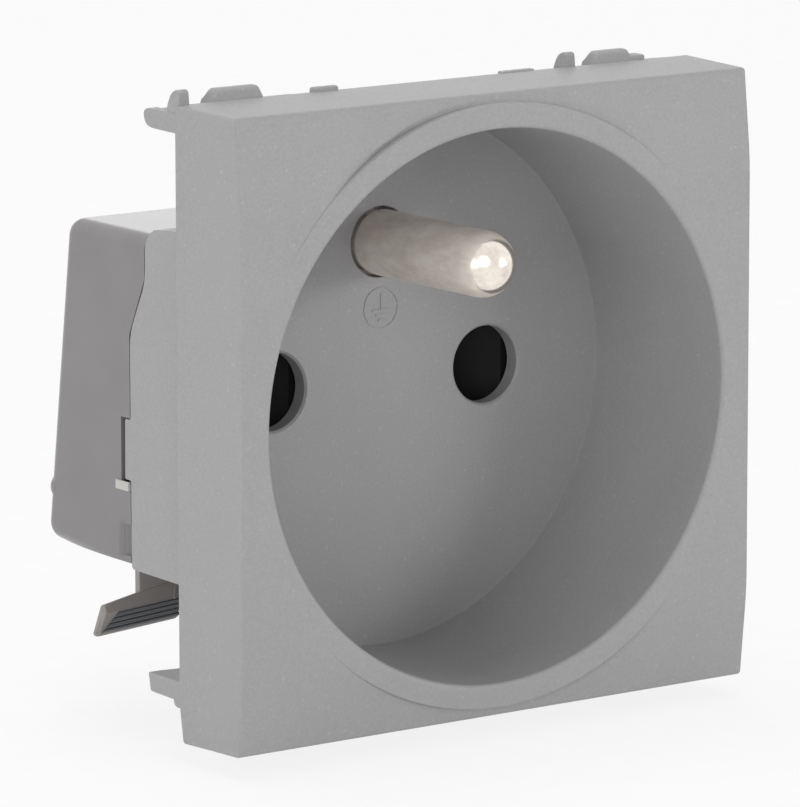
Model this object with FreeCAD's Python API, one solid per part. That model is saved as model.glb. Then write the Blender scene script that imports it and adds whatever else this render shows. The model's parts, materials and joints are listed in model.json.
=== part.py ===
import FreeCAD
import Part

import math
import os

# Grounded wall socket for a 45 mm square opening, with a round plug well and a male earth pin.
# Millimetres. X runs to the right, Y into the wall, Z up. The origin is the middle of the rear
# face of the cover, which seats on the support frame, so the front is at negative Y.

Vec = FreeCAD.Vector

# Cover plate
PLATE_DEPTH = 7.7
BACK_WIDTH = 45.0
BACK_HEIGHT = 45.1
WIDTH_DRAFT = 0.3
HEIGHT_DRAFT = 0.4
PLATE_WALL = 1.9
PLATE_SKIN = 2.5
ROLL_START = 14.5
ROLL_RADIUS = 25.0
ROLL_ANGLE = 6.0
FRONT_EDGE_ROUND = 0.3

# Plug well and the flat collar round it
WELL_DEPTH = 14.7
WELL_MARGIN = 2.63
WELL_DRAFT = 0.22
WELL_RIM_ROUND = 0.3
WELL_WALL = 0.88
COLLAR_WIDTH = 1.8
FLOOR_THICKNESS = 1.3
HOLE_PITCH = 19.0
HOLE_RADIUS = 2.88
HOLE_CHAMFER = 0.12

# Earth pin
EARTH_PIN_RADIUS = 2.4
EARTH_PIN_LENGTH = 14.7
EARTH_PIN_HEIGHT = 10.0
EARTH_PIN_CLEARANCE = 0.14
EARTH_NECK_RADIUS = 2.2
EARTH_NECK_PROUD = 0.1
EARTH_STEM_RADIUS = 0.9
EARTH_HEAD_RADIUS = 1.3
EARTH_HEAD_HEIGHT = 0.4
EARTH_HEAD_CLEARANCE = 0.3

# Skirt of the cover, behind the plate
SKIRT_INSET = 1.35
SKIRT_TOP = 13.3
SKIRT_BOTTOM = -11.6
SKIRT_WALL = 1.3
SKIRT_ROUND = 1.2
SEAM_HIGH_Y = 5.8
SEAM_LOW_Y = 7.8
SEAM_STEP_TOP = 9.6
SEAM_STEP_BOTTOM = 5.3
SEAM_GAP = 0.15
TONGUE_Y = 8.9
TONGUE_TOP = -0.9
TONGUE_BOTTOM = -5.2

# Rear cap
CAP_TOP = 12.6
CAP_BOTTOM = -11.2
CAP_WALL = 1.3
CAP_TOP_WALL = 1.1
CAP_REAR_Y = 17.8
CAP_REAR_SLOPE = 0.1355
CAP_REAR_ROUND = 1.1
CAP_EDGE_ROUND = 1.5
TOWER_RADIUS = 4.4
TOWER_END_Y = 27.0
TOWER_POCKET_RADIUS = 3.55
TOWER_END_WALL = 0.8
NUB_RADIUS = 1.0
NUB_PROUD = 0.25
NUB_HEIGHT = -7.0
CLIP_LENGTH = 1.5
CLIP_TOP = -8.5
CLIP_BOTTOM = -10.9
CLIP_PROUD = 0.3

# Catch lugs, horns and rear fingers of the cover
LEFT_LUG_INSET = 5.45
RIGHT_LUG_INSET = 6.7
LEFT_LUG_WIDTH = 4.0
RIGHT_LUG_WIDTH = 3.2
LUG_FLARE = 0.3
LUG_SINK = 0.2
LUG_HEIGHT = 0.95
LUG_ROOT_Y = -0.15
LUG_FACE_Y = 0.6
LUG_BACK_Y = 1.9
LUG_ROUND = 0.35
LEFT_HORN_INSET = 0.65
RIGHT_HORN_INSET = 10.9
HORN_WIDTH = 0.9
HORN_FRONT_Y = -0.3
HORN_TIP_Y = 0.4
HORN_BACK_Y = 1.2
HORN_HEIGHT = 1.05
HORN_ROOT = 2.0
FINGER_THICKNESS = 1.0
FINGER_LENGTH = 4.05
FINGER_INSET = 0.15
TOP_FINGER_INSET = 0.6
TOP_FINGER_HEIGHT = 1.65
LOW_FINGER_INSET = 3.15
LOW_FINGER_HEIGHT = 1.9
FINGER_TAPER = 0.45
FINGER_TIP_ROUND = 0.5
LEDGE_START = 7.5
LEDGE_END = 10.5
LEDGE_LENGTH = 1.0

# Shutter, its spring and the carrier behind the well floor
SLIDE_GAP = 0.15
SHUTTER_THICKNESS = 4.0
SHUTTER_HALF_HEIGHT = 3.1
SHUTTER_OVERLAP = 0.2
SHUTTER_TRAVEL = 6.0
WINDOW_WIDTH = 5.7
RAMP_FLAT = 0.5
LUG_ARM_WIDTH = 1.0
LUG_ARM_PLACE = -6.0
SPRING_RADIUS = 1.3
SPRING_WIRE_RADIUS = 0.15
SPRING_LENGTH = 12.5
SPRING_WIRE_SIDES = 6
SPRING_TURNS = 11
SPRING_STEPS = 12
SPRING_CHANNEL = 3.2
CARRIER_BASE = 1.2
CARRIER_WALL = 0.5
CARRIER_HALF_WIDTH = 13.3
CARRIER_TAB_HALF_WIDTH = 4.0
CARRIER_PIN_CLEARANCE = 0.5
LOCATOR_HEIGHT = 0.65
LOCATOR_PLACE = -6.0
LOCATOR_THICKNESS = 1.15
LOCATOR_END = 0.7
LOCATOR_PROUD = 0.15

# Contacts of line and neutral, and the earth strap
STRAP_THICKNESS = 0.6
STRAP_GAP = 0.15
TULIP_BORE_RADIUS = 2.7
TULIP_THROAT_RADIUS = 2.3
TULIP_LIP_RADIUS = 2.6
TULIP_SHEET = 0.6
TULIP_COLLAR_LENGTH = 2.0
TULIP_TAPER_LENGTH = 4.2
TULIP_THROAT_LENGTH = 2.6
TULIP_LIP_LENGTH = 2.0
TULIP_SLOT = 0.9
CLIP_RING_SHEET = 0.4
CLIP_RING_GAP = 0.05
CLIP_RING_WIDTH = 2.2
CLIP_RING_OPENING = 2.4
RISER_WIDTH = 3.0
EARTH_STRAP_WIDTH = 8.9
EARTH_FORK_WIDTH = 6.1
EARTH_FORK_TOP = -1.0

# Lever terminals
POLE_INSET = 4.55
WIRE_SPACING = 3.5
WIRE_HOLE_RADIUS = 1.15
WIRE_RADIUS = 0.95
WIRE_HOLE_FUNNEL = 0.35
STRIP_TOP = -7.8
STRIP_FRONT_Y = 9.6
STRIP_REAR_Y = 16.5
STRIP_HALF_WIDTH = 2.95
STRIP_SLOT = 1.7
CLAMP_INNER = 0.4
CLAMP_OUTER = 2.8
CLAMP_SHEET = 0.35
CLAMP_LEG_TOP = -1.5
CLAMP_KNEE_HEIGHT = -3.7
CLAMP_TIP_Y = 10.9
CLAMP_TIP_HEIGHT = -7.5
CLAMP_WALL_GAP = 0.2
PIVOT_Y = 12.6
PIVOT_HEIGHT = -9.15
PIVOT_RADIUS = 0.5
PIVOT_CLEARANCE = 0.05
PIVOT_REACH = 3.2
CHEEK_INNER = 2.75
CHEEK_OUTER = 3.4
CHEEK_HALF_LENGTH = 1.2
CHEEK_TOP = -8.55
WEB_WIDTH = 1.1
WEB_LENGTH = 1.2
WEB_SLOT_GAP = 0.3
LEVER_RANGE = 15.0
NOSE_RADIUS = 0.35
NOSE_Y = 12.9
NOSE_GAP = 0.12
NOSE_REACH = 0.72
STEM_TOP = -11.6
STEM_OUTER = 1.2
STEM_INNER = 1.9
STEM_FRONT_Y = 12.25
STEM_LENGTH = 1.0
PAD_OUTER = 4.4
PAD_INNER = 2.3
PAD_TOP = -15.3
PAD_BOTTOM = -17.25
PAD_FRONT_Y = 12.05
PAD_LEAN = 0.75
PAD_THICKNESS = 0.9
SHOULDER_OUTER_TOP = -15.1
SHOULDER_INNER_TOP = -14.2
SHOULDER_SET_BACK = 0.2
RIDGE_COUNT = 4
RIDGE_DEPTH = 0.18

# Places worked out from the sizes
FRONT_WIDTH = BACK_WIDTH - WIDTH_DRAFT
FRONT_HEIGHT = BACK_HEIGHT - HEIGHT_DRAFT
SKIRT_HALF_WIDTH = BACK_WIDTH / 2 - SKIRT_INSET
POLE_PLACE = SKIRT_HALF_WIDTH - POLE_INSET
WELL_MOUTH_RADIUS = min(BACK_WIDTH, BACK_HEIGHT) / 2 - WELL_MARGIN
WELL_FLOOR_RADIUS = WELL_MOUTH_RADIUS - WELL_DRAFT
TOP_FINGER_TOP = BACK_HEIGHT / 2 - TOP_FINGER_INSET
TOP_FINGER_BOTTOM = TOP_FINGER_TOP - TOP_FINGER_HEIGHT
LOW_FINGER_BOTTOM = LOW_FINGER_INSET - BACK_HEIGHT / 2
LOW_FINGER_TOP = LOW_FINGER_BOTTOM + LOW_FINGER_HEIGHT
HORN_PLACES = (LEFT_HORN_INSET - BACK_WIDTH / 2, BACK_WIDTH / 2 - RIGHT_HORN_INSET)
LUG_PLACES = (LEFT_LUG_INSET - BACK_WIDTH / 2, BACK_WIDTH / 2 - RIGHT_LUG_INSET)
LUG_WIDTHS = (LEFT_LUG_WIDTH, RIGHT_LUG_WIDTH)
FRONT_Y = -PLATE_DEPTH
FLOOR_Y = FRONT_Y + WELL_DEPTH
FLOOR_BACK_Y = FLOOR_Y + FLOOR_THICKNESS
TUBE_RADIUS = WELL_MOUTH_RADIUS + WELL_WALL
COLLAR_RADIUS = WELL_MOUTH_RADIUS + COLLAR_WIDTH
HOLE_X = HOLE_PITCH / 2
SHUTTER_FRONT_Y = FLOOR_BACK_Y + SLIDE_GAP
SHUTTER_BACK_Y = SHUTTER_FRONT_Y + SHUTTER_THICKNESS
CARRIER_FRONT_Y = FLOOR_BACK_Y + SEAM_GAP
CARRIER_BASE_Y = SHUTTER_BACK_Y + SLIDE_GAP
CARRIER_BACK_Y = CARRIER_BASE_Y + CARRIER_BASE
STRAP_Y = CARRIER_BACK_Y + STRAP_GAP
POCKET_HALF_HEIGHT = SHUTTER_HALF_HEIGHT + SLIDE_GAP
CARRIER_BOTTOM = -POCKET_HALF_HEIGHT - CARRIER_WALL
CHANNEL_TOP = POCKET_HALF_HEIGHT + SPRING_CHANNEL
CARRIER_TOP = CHANNEL_TOP + CARRIER_WALL
SPRING_START_X = LUG_ARM_PLACE + LUG_ARM_WIDTH + SLIDE_GAP
SPRING_END_X = SPRING_START_X + SPRING_LENGTH
SPRING_HEIGHT = POCKET_HALF_HEIGHT + SPRING_CHANNEL / 2
SPRING_Y = (SHUTTER_FRONT_Y + SHUTTER_BACK_Y) / 2
SHUTTER_HALF_WIDTH = HOLE_X + HOLE_RADIUS + SHUTTER_OVERLAP
STRIP_BOTTOM = STRIP_TOP - STRAP_THICKNESS
WIRE_HEIGHT = STRIP_TOP + WIRE_RADIUS
CAP_INNER_TOP = CAP_TOP - CAP_TOP_WALL
CAP_INNER_BOTTOM = CAP_BOTTOM + CAP_WALL
FAR = 60.0


def box(x0, x1, y0, y1, z0, z1):
    return Part.makeBox(x1 - x0, y1 - y0, z1 - z0, Vec(x0, y0, z0))


def round_bar_y(x, z, radius, y0, y1):
    return Part.makeCylinder(radius, y1 - y0, Vec(x, y0, z), Vec(0, 1, 0))


def round_bar_x(y, z, radius, x0, x1):
    return Part.makeCylinder(radius, x1 - x0, Vec(x0, y, z), Vec(1, 0, 0))


def side_prism(points, x0, x1):
    """A profile drawn in Y and Z, extruded along X."""
    corners = [Vec(x0, y, z) for y, z in points]
    face = Part.Face(Part.makePolygon(corners + corners[:1]))
    return face.extrude(Vec(x1 - x0, 0, 0))


def turned(points, x, z):
    """A profile of radius and Y, turned about an axis along Y."""
    corners = [Vec(x + radius, y, z) for radius, y in points]
    face = Part.Face(Part.makePolygon(corners + corners[:1]))
    return face.revolve(Vec(x, 0, z), Vec(0, 1, 0), 360)


def rear_y(z):
    """Outer face of the cap's rear wall, which leans back towards the bottom."""
    return CAP_REAR_Y - CAP_REAR_SLOPE * z


def rectangle(half_width, half_height, y):
    corners = [
        Vec(-half_width, y, -half_height),
        Vec(half_width, y, -half_height),
        Vec(half_width, y, half_height),
        Vec(-half_width, y, half_height),
    ]
    return Part.makePolygon(corners + corners[:1])


def rolled_front():
    """Everything behind the front face, which is flat in the middle and rolls back above and below."""
    angle = math.radians(ROLL_ANGLE)
    edge_z = BACK_HEIGHT / 2 + 1

    def on_arc(turn):
        fall = ROLL_RADIUS * (1 - math.cos(turn))
        return FRONT_Y + fall, ROLL_START + ROLL_RADIUS * math.sin(turn)

    mid_y, mid_z = on_arc(angle / 2)
    end_y, end_z = on_arc(angle)
    edge_y = end_y + (edge_z - end_z) * math.tan(angle)
    edges = []
    for side in (1, -1):
        start = Vec(0, FRONT_Y, side * ROLL_START)
        end = Vec(0, end_y, side * end_z)
        edges.append(Part.Arc(start, Vec(0, mid_y, side * mid_z), end).toShape())
        edges.append(Part.makeLine(end, Vec(0, edge_y, side * edge_z)))
        edges.append(Part.makeLine(Vec(0, edge_y, side * edge_z), Vec(0, 0, side * edge_z)))
    edges.append(Part.makeLine(Vec(0, FRONT_Y, -ROLL_START), Vec(0, FRONT_Y, ROLL_START)))
    edges.append(Part.makeLine(Vec(0, 0, -edge_z), Vec(0, 0, edge_z)))
    face = Part.Face(Part.Wire(Part.__sortEdges__(edges)))
    face.translate(Vec(-FAR / 2, 0, 0))
    return face.extrude(Vec(FAR, 0, 0))


def plate():
    """Drafted square plate with corner pockets open to the rear, and a flat collar round the well."""
    front = rectangle(FRONT_WIDTH / 2, FRONT_HEIGHT / 2, FRONT_Y)
    back = rectangle(BACK_WIDTH / 2, BACK_HEIGHT / 2, 0)
    block = Part.makeLoft([front, back], True, True).common(rolled_front())
    block = block.makeFillet(FRONT_EDGE_ROUND, outline_edges(block))
    half_x = BACK_WIDTH / 2 - PLATE_WALL
    half_z = BACK_HEIGHT / 2 - PLATE_WALL
    pocket = box(-half_x, half_x, FRONT_Y + PLATE_SKIN, 1, -half_z, half_z)
    pocket = pocket.cut(round_bar_y(0, 0, TUBE_RADIUS, FRONT_Y, 2))
    collar = round_bar_y(0, 0, COLLAR_RADIUS, FRONT_Y, FRONT_Y + PLATE_SKIN)
    return block.cut(pocket).fuse(collar)


def outline_edges(block):
    """Edges between the front face and the four sides."""
    found = []
    for edge in block.Edges:
        low, high = edge.BoundBox.YMin, edge.BoundBox.YMax
        forward = high < FRONT_Y + 1
        span = edge.BoundBox
        on_side = min(abs(span.XMin), abs(span.XMax)) > FRONT_WIDTH / 2 - 1 and span.XLength < 1
        on_end = min(abs(span.ZMin), abs(span.ZMax)) > FRONT_HEIGHT / 2 - 1 and span.ZLength < 1
        if forward and low < FRONT_Y + 1 and (on_side or on_end):
            found.append(edge)
    return found


def seam_profile(offset):
    """Rear edge of the skirt from bottom to top, moved back by the offset."""
    return [
        (SEAM_LOW_Y + offset, SKIRT_BOTTOM),
        (SEAM_LOW_Y + offset, TONGUE_BOTTOM - offset),
        (TONGUE_Y + offset, TONGUE_BOTTOM - offset),
        (TONGUE_Y + offset, TONGUE_TOP + offset),
        (SEAM_LOW_Y + offset, TONGUE_TOP + offset),
        (SEAM_LOW_Y + offset, SEAM_STEP_BOTTOM),
        (SEAM_HIGH_Y + offset, SEAM_STEP_TOP),
        (SEAM_HIGH_Y + offset, SKIRT_TOP),
    ]


def skirt():
    """Open frame behind the plate, one moulding with it, that the rear cap closes."""
    points = [(-1, SKIRT_BOTTOM)] + seam_profile(0) + [(-1, SKIRT_TOP)]
    outer = side_prism(points, -SKIRT_HALF_WIDTH, SKIRT_HALF_WIDTH)
    corner = [e for e in outer.Edges if e.BoundBox.XLength > SKIRT_HALF_WIDTH
              and e.BoundBox.ZMin > SKIRT_TOP - 0.01 and e.BoundBox.YMin > 1]
    outer = outer.makeFillet(SKIRT_ROUND, corner)
    half = SKIRT_HALF_WIDTH - SKIRT_WALL
    hollow = box(-half, half, -2, FAR, SKIRT_BOTTOM + SKIRT_WALL, SKIRT_TOP - SKIRT_WALL)
    return outer.cut(hollow)


def well_cavity():
    rim = WELL_MOUTH_RADIUS + WELL_RIM_ROUND
    turn = math.radians(45)
    middle = Vec(rim - WELL_RIM_ROUND * math.cos(turn), FRONT_Y + WELL_RIM_ROUND * (1 - math.sin(turn)), 0)
    lip = Vec(WELL_MOUTH_RADIUS, FRONT_Y + WELL_RIM_ROUND, 0)
    top = Vec(rim, FRONT_Y, 0)
    corners = [Vec(0, FRONT_Y - 2, 0), Vec(rim, FRONT_Y - 2, 0), top]
    edges = [Part.makeLine(a, b) for a, b in zip(corners, corners[1:])]
    edges.append(Part.Arc(top, middle, lip).toShape())
    rest = [lip, Vec(WELL_FLOOR_RADIUS, FLOOR_Y, 0), Vec(0, FLOOR_Y, 0), corners[0]]
    edges += [Part.makeLine(a, b) for a, b in zip(rest, rest[1:])]
    return Part.Face(Part.Wire(edges)).revolve(Vec(0, 0, 0), Vec(0, 1, 0), 360)


def front_prism(points, y0, y1):
    """An outline drawn in X and Z, extruded along Y."""
    corners = [Vec(x, y0, z) for x, z in points]
    face = Part.Face(Part.makePolygon(corners + corners[:1]))
    return face.extrude(Vec(0, y1 - y0, 0))


def catch_lug(place, width):
    """A snap lug behind the top edge: it slopes up from the plate and its ends flare at the root."""
    plate_top = BACK_HEIGHT / 2
    root = plate_top - PLATE_WALL / 2
    tip = plate_top + LUG_HEIGHT
    half = width / 2
    flare = half + LUG_FLARE
    profile = [(LUG_ROOT_Y, root), (LUG_ROOT_Y, plate_top - LUG_SINK), (LUG_FACE_Y, tip), (LUG_BACK_Y, tip),
               (LUG_BACK_Y + LUG_FLARE, plate_top), (LUG_BACK_Y + LUG_FLARE, root)]
    outline = [(place - flare, root), (place + flare, root), (place + flare, plate_top), (place + half, tip),
               (place - half, tip), (place - flare, plate_top)]
    lug = side_prism(profile, place - width, place + width).common(front_prism(outline, LUG_ROOT_Y - 1, LUG_BACK_Y + 1))
    crest = [e for e in lug.Edges if e.BoundBox.ZMin > tip - 0.01]
    return lug.makeFillet(LUG_ROUND, crest)


def catch_lugs():
    """Lugs at the rear of the top and bottom edges, which snap into the support frame."""
    lugs = [catch_lug(place, width) for place, width in zip(LUG_PLACES, LUG_WIDTHS)]
    return lugs + [lug.mirror(Vec(0, 0, 0), Vec(0, 0, 1)) for lug in lugs]


def rear_ledge():
    """Short step of the top edge beside the left lug, which centres the module in its frame."""
    left = LEDGE_START - BACK_WIDTH / 2
    right = LEDGE_END - BACK_WIDTH / 2
    top = BACK_HEIGHT / 2
    return box(left, right, LUG_ROOT_Y, LEDGE_LENGTH, top - PLATE_WALL, top - SEAM_GAP)


def horns():
    """Fins that stand up at the rear edge, steep in front and sloped behind."""
    fins = []
    for place in HORN_PLACES:
        top = BACK_HEIGHT / 2 + HORN_HEIGHT
        low = BACK_HEIGHT / 2 - HORN_ROOT
        profile = [(HORN_FRONT_Y, low), (HORN_FRONT_Y, top), (HORN_TIP_Y, top), (HORN_BACK_Y, BACK_HEIGHT / 2),
                   (HORN_BACK_Y, low)]
        fin = side_prism(profile, place - HORN_WIDTH / 2, place + HORN_WIDTH / 2)
        crest = [e for e in fin.Edges if e.BoundBox.ZMin > top - 0.01]
        fins.append(fin.makeFillet(HORN_WIDTH * 0.3, crest))
    return fins


def fingers():
    """Flat fingers that reach back from the side walls into the support frame."""
    shapes = []
    for side in (-1, 1):
        outer = BACK_WIDTH / 2 - FINGER_INSET
        x0, x1 = sorted((side * outer, side * (outer - FINGER_THICKNESS)))
        for top, bottom in ((TOP_FINGER_TOP, TOP_FINGER_BOTTOM), (LOW_FINGER_TOP, LOW_FINGER_BOTTOM)):
            points = [(-1, bottom), (0, bottom), (FINGER_LENGTH, bottom + FINGER_TAPER), (FINGER_LENGTH, top), (-1, top)]
            finger = side_prism(points, x0, x1)
            tips = [e for e in finger.Edges if e.BoundBox.YMin > FINGER_LENGTH - 0.01 and e.BoundBox.XLength > 0.5]
            shapes.append(finger.makeFillet(FINGER_TIP_ROUND, tips))
    return shapes


def front_cover():
    tube = round_bar_y(0, 0, TUBE_RADIUS, FRONT_Y + PLATE_SKIN / 2, FLOOR_BACK_Y)
    body = plate().fuse([tube, skirt()] + catch_lugs() + horns() + fingers() + [rear_ledge()])
    body = body.cut(well_cavity())
    for x in (-HOLE_X, HOLE_X):
        body = body.cut(round_bar_y(x, 0, HOLE_RADIUS, FLOOR_Y - 1, FLOOR_BACK_Y + 1))
    pin_hole = EARTH_PIN_RADIUS + EARTH_PIN_CLEARANCE
    body = body.cut(round_bar_y(0, EARTH_PIN_HEIGHT, pin_hole, FLOOR_Y - 1, FLOOR_BACK_Y + 1))
    return body.removeSplitter()


def cap_outer():
    points = seam_profile(SEAM_GAP)
    points = [(y, max(CAP_BOTTOM, min(CAP_TOP, z))) for y, z in points]
    points += [(rear_y(CAP_TOP), CAP_TOP), (rear_y(CAP_BOTTOM), CAP_BOTTOM)]
    block = side_prism(points, -SKIRT_HALF_WIDTH, SKIRT_HALF_WIDTH)
    long_edges = [e for e in block.Edges if e.BoundBox.ZLength < 0.01 and e.BoundBox.XLength < 0.01]
    block = block.makeFillet(CAP_EDGE_ROUND, long_edges)
    rear = [e for e in block.Edges if e.BoundBox.YMin > rear_y(CAP_TOP) - 0.1]
    return block.makeFillet(CAP_REAR_ROUND, rear)


def cap_cavity():
    half = SKIRT_HALF_WIDTH - CAP_WALL
    points = [
        (0, CAP_INNER_BOTTOM),
        (rear_y(CAP_INNER_BOTTOM) - CAP_WALL, CAP_INNER_BOTTOM),
        (rear_y(CAP_INNER_TOP) - CAP_WALL, CAP_INNER_TOP),
        (0, CAP_INNER_TOP),
    ]
    return side_prism(points, -half, half)


def poles():
    """Middle of each lever terminal, with the side its lever leans out to."""
    return {"line": (-POLE_PLACE, -1), "earth": (0, 0), "neutral": (POLE_PLACE, 1)}


def wire_places(middle):
    return middle - WIRE_SPACING / 2, middle + WIRE_SPACING / 2


def wire_hole(x):
    y0 = rear_y(WIRE_HEIGHT) - CAP_WALL - 1
    y1 = rear_y(WIRE_HEIGHT) + 1
    hole = round_bar_y(x, WIRE_HEIGHT, WIRE_HOLE_RADIUS, y0, y1)
    mouth = Part.makeCone(WIRE_HOLE_RADIUS, WIRE_HOLE_RADIUS + WIRE_HOLE_FUNNEL + 1, WIRE_HOLE_FUNNEL + 1,
                          Vec(x, y1 - 1 - WIRE_HOLE_FUNNEL, WIRE_HEIGHT), Vec(0, 1, 0))
    return hole.fuse(mouth)


def lever_slot(middle):
    swing = (PIVOT_HEIGHT - CAP_BOTTOM) * math.sin(math.radians(LEVER_RANGE))
    front = PIVOT_Y - WEB_LENGTH / 2 - WEB_SLOT_GAP
    back = PIVOT_Y + WEB_LENGTH / 2 + swing + WEB_SLOT_GAP
    half = WEB_WIDTH / 2 + WEB_SLOT_GAP
    return box(middle - half, middle + half, front, back, CAP_BOTTOM - 1, CAP_INNER_BOTTOM + 1)


def pivot_cheeks(middle):
    """Two ribs on the cap's floor with open cradles for the lever's axle."""
    cheeks = []
    for side in (-1, 1):
        x0, x1 = sorted((middle + side * CHEEK_INNER, middle + side * CHEEK_OUTER))
        cheek = box(x0, x1, PIVOT_Y - CHEEK_HALF_LENGTH, PIVOT_Y + CHEEK_HALF_LENGTH, CAP_INNER_BOTTOM - 0.5, CHEEK_TOP)
        radius = PIVOT_RADIUS + PIVOT_CLEARANCE
        cheek = cheek.cut(round_bar_x(PIVOT_Y, PIVOT_HEIGHT, radius, x0 - 1, x1 + 1))
        cheeks.append(cheek.cut(box(x0 - 1, x1 + 1, PIVOT_Y - radius, PIVOT_Y + radius, PIVOT_HEIGHT, 0)))
    return cheeks


def side_details():
    """Locating nub at the rear corner and the snap nib by the seam, on both sides."""
    shapes = []
    for side in (-1, 1):
        edge = side * SKIRT_HALF_WIDTH
        nub_y = rear_y(NUB_HEIGHT) - CAP_REAR_ROUND
        nub = Part.makeSphere(NUB_RADIUS, Vec(edge - side * CAP_REAR_ROUND, nub_y + CAP_REAR_ROUND - NUB_RADIUS
                                              + NUB_PROUD, NUB_HEIGHT))
        shapes.append(nub)
        x0, x1 = sorted((edge - side * 0.5, edge + side * CLIP_PROUD))
        clip_y = SEAM_LOW_Y + 2 * SEAM_GAP
        clip = box(x0, x1, clip_y, clip_y + CLIP_LENGTH, CLIP_BOTTOM, CLIP_TOP)
        shapes.append(clip)
    return shapes


def rear_cap():
    body = cap_outer()
    towers = [round_bar_y(x, 0, TOWER_RADIUS, rear_y(0) - CAP_WALL, TOWER_END_Y) for x in (-HOLE_X, HOLE_X)]
    body = body.fuse(towers + side_details())
    body = body.cut(cap_cavity())
    for x in (-HOLE_X, HOLE_X):
        pocket = round_bar_y(x, 0, TOWER_POCKET_RADIUS, CARRIER_BACK_Y, TOWER_END_Y - TOWER_END_WALL)
        body = body.cut(pocket)
    body = body.cut(round_bar_y(0, 0, TUBE_RADIUS + SEAM_GAP, 0, FLOOR_BACK_Y + SEAM_GAP))
    head_y = STRAP_Y + STRAP_THICKNESS + EARTH_HEAD_HEIGHT
    dimple = EARTH_HEAD_RADIUS + EARTH_HEAD_CLEARANCE
    body = body.cut(round_bar_y(0, EARTH_PIN_HEIGHT, dimple, CARRIER_BACK_Y, head_y + SEAM_GAP))
    for middle, _ in poles().values():
        body = body.fuse(pivot_cheeks(middle)).cut(lever_slot(middle))
        for x in wire_places(middle):
            body = body.cut(wire_hole(x))
    x0 = -SKIRT_HALF_WIDTH - 1
    z0 = LOCATOR_PLACE - SEAM_GAP
    z1 = TONGUE_BOTTOM
    notch = box(x0, x0 + CAP_WALL + 2, 0, CARRIER_FRONT_Y + LOCATOR_THICKNESS + SEAM_GAP, z0, z1)
    return body.cut(notch).removeSplitter()


def earth_pin():
    """Turned pin with a domed end, a neck through the floor, a shoulder on the carrier and a riveted tail."""
    tip_y = FLOOR_Y - EARTH_PIN_LENGTH
    centre = Vec(0, tip_y + EARTH_PIN_RADIUS, EARTH_PIN_HEIGHT)
    dome = Part.makeSphere(EARTH_PIN_RADIUS, centre)
    shank = round_bar_y(0, EARTH_PIN_HEIGHT, EARTH_PIN_RADIUS, centre.y, FLOOR_Y - EARTH_NECK_PROUD)
    neck = round_bar_y(0, EARTH_PIN_HEIGHT, EARTH_NECK_RADIUS, centre.y, CARRIER_FRONT_Y)
    stem = round_bar_y(0, EARTH_PIN_HEIGHT, EARTH_STEM_RADIUS, centre.y, STRAP_Y + STRAP_THICKNESS)
    head_y = STRAP_Y + STRAP_THICKNESS
    head = round_bar_y(0, EARTH_PIN_HEIGHT, EARTH_HEAD_RADIUS, head_y, head_y + EARTH_HEAD_HEIGHT)
    return dome.fuse([shank, neck, stem, head]).removeSplitter()


def shutter():
    """Sliding shutter: a ramp behind each pin hole, a window beside one and an arm for the spring."""
    low = -SHUTTER_HALF_HEIGHT
    high = SHUTTER_HALF_HEIGHT
    body = box(-SHUTTER_HALF_WIDTH, SHUTTER_HALF_WIDTH, SHUTTER_FRONT_Y, SHUTTER_BACK_Y, low, high)
    window_x = HOLE_X - SHUTTER_TRAVEL
    body = body.cut(box(window_x - WINDOW_WIDTH / 2, window_x + WINDOW_WIDTH / 2, 0, FAR, low + 0.2, high - 0.2))
    for middle in (-HOLE_X, HOLE_X):
        left = middle - HOLE_RADIUS
        right = middle + HOLE_RADIUS
        corners = [
            Vec(left - 1, SHUTTER_FRONT_Y - 1, low - 1),
            Vec(right - RAMP_FLAT, SHUTTER_FRONT_Y - 1, low - 1),
            Vec(right - RAMP_FLAT, SHUTTER_FRONT_Y, low - 1),
            Vec(left, SHUTTER_BACK_Y - RAMP_FLAT, low - 1),
            Vec(left - 1, SHUTTER_BACK_Y - RAMP_FLAT, low - 1),
        ]
        ramp = Part.Face(Part.makePolygon(corners + corners[:1])).extrude(Vec(0, 0, 2 * high + 2))
        body = body.cut(ramp)
    arm = box(LUG_ARM_PLACE, LUG_ARM_PLACE + LUG_ARM_WIDTH, SHUTTER_FRONT_Y, SHUTTER_BACK_Y, 0,
              CHANNEL_TOP - SLIDE_GAP)
    return body.fuse(arm).removeSplitter()


def shutter_spring():
    """Compression spring drawn as a swept coil."""
    coil_radius = SPRING_RADIUS - SPRING_WIRE_RADIUS
    rise = (SPRING_LENGTH - 2 * SPRING_WIRE_RADIUS) / (SPRING_TURNS * SPRING_STEPS)
    path = []
    for number in range(SPRING_TURNS * SPRING_STEPS + 1):
        turn = 2 * math.pi * number / SPRING_STEPS
        path.append(Vec(coil_radius * math.cos(turn), coil_radius * math.sin(turn), rise * number))
    corners = []
    for number in range(SPRING_WIRE_SIDES):
        turn = 2 * math.pi * number / SPRING_WIRE_SIDES
        out = coil_radius + SPRING_WIRE_RADIUS * math.cos(turn)
        corners.append(Vec(out, 0, SPRING_WIRE_RADIUS * math.sin(turn)))
    section = Part.makePolygon(corners + corners[:1])
    coil = Part.makePolygon(path).makePipeShell([section], True, False, 1)
    coil.rotate(Vec(0, 0, 0), Vec(0, 1, 0), 90)
    coil.translate(Vec(SPRING_START_X + SPRING_WIRE_RADIUS, SPRING_Y, SPRING_HEIGHT))
    return coil


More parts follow.
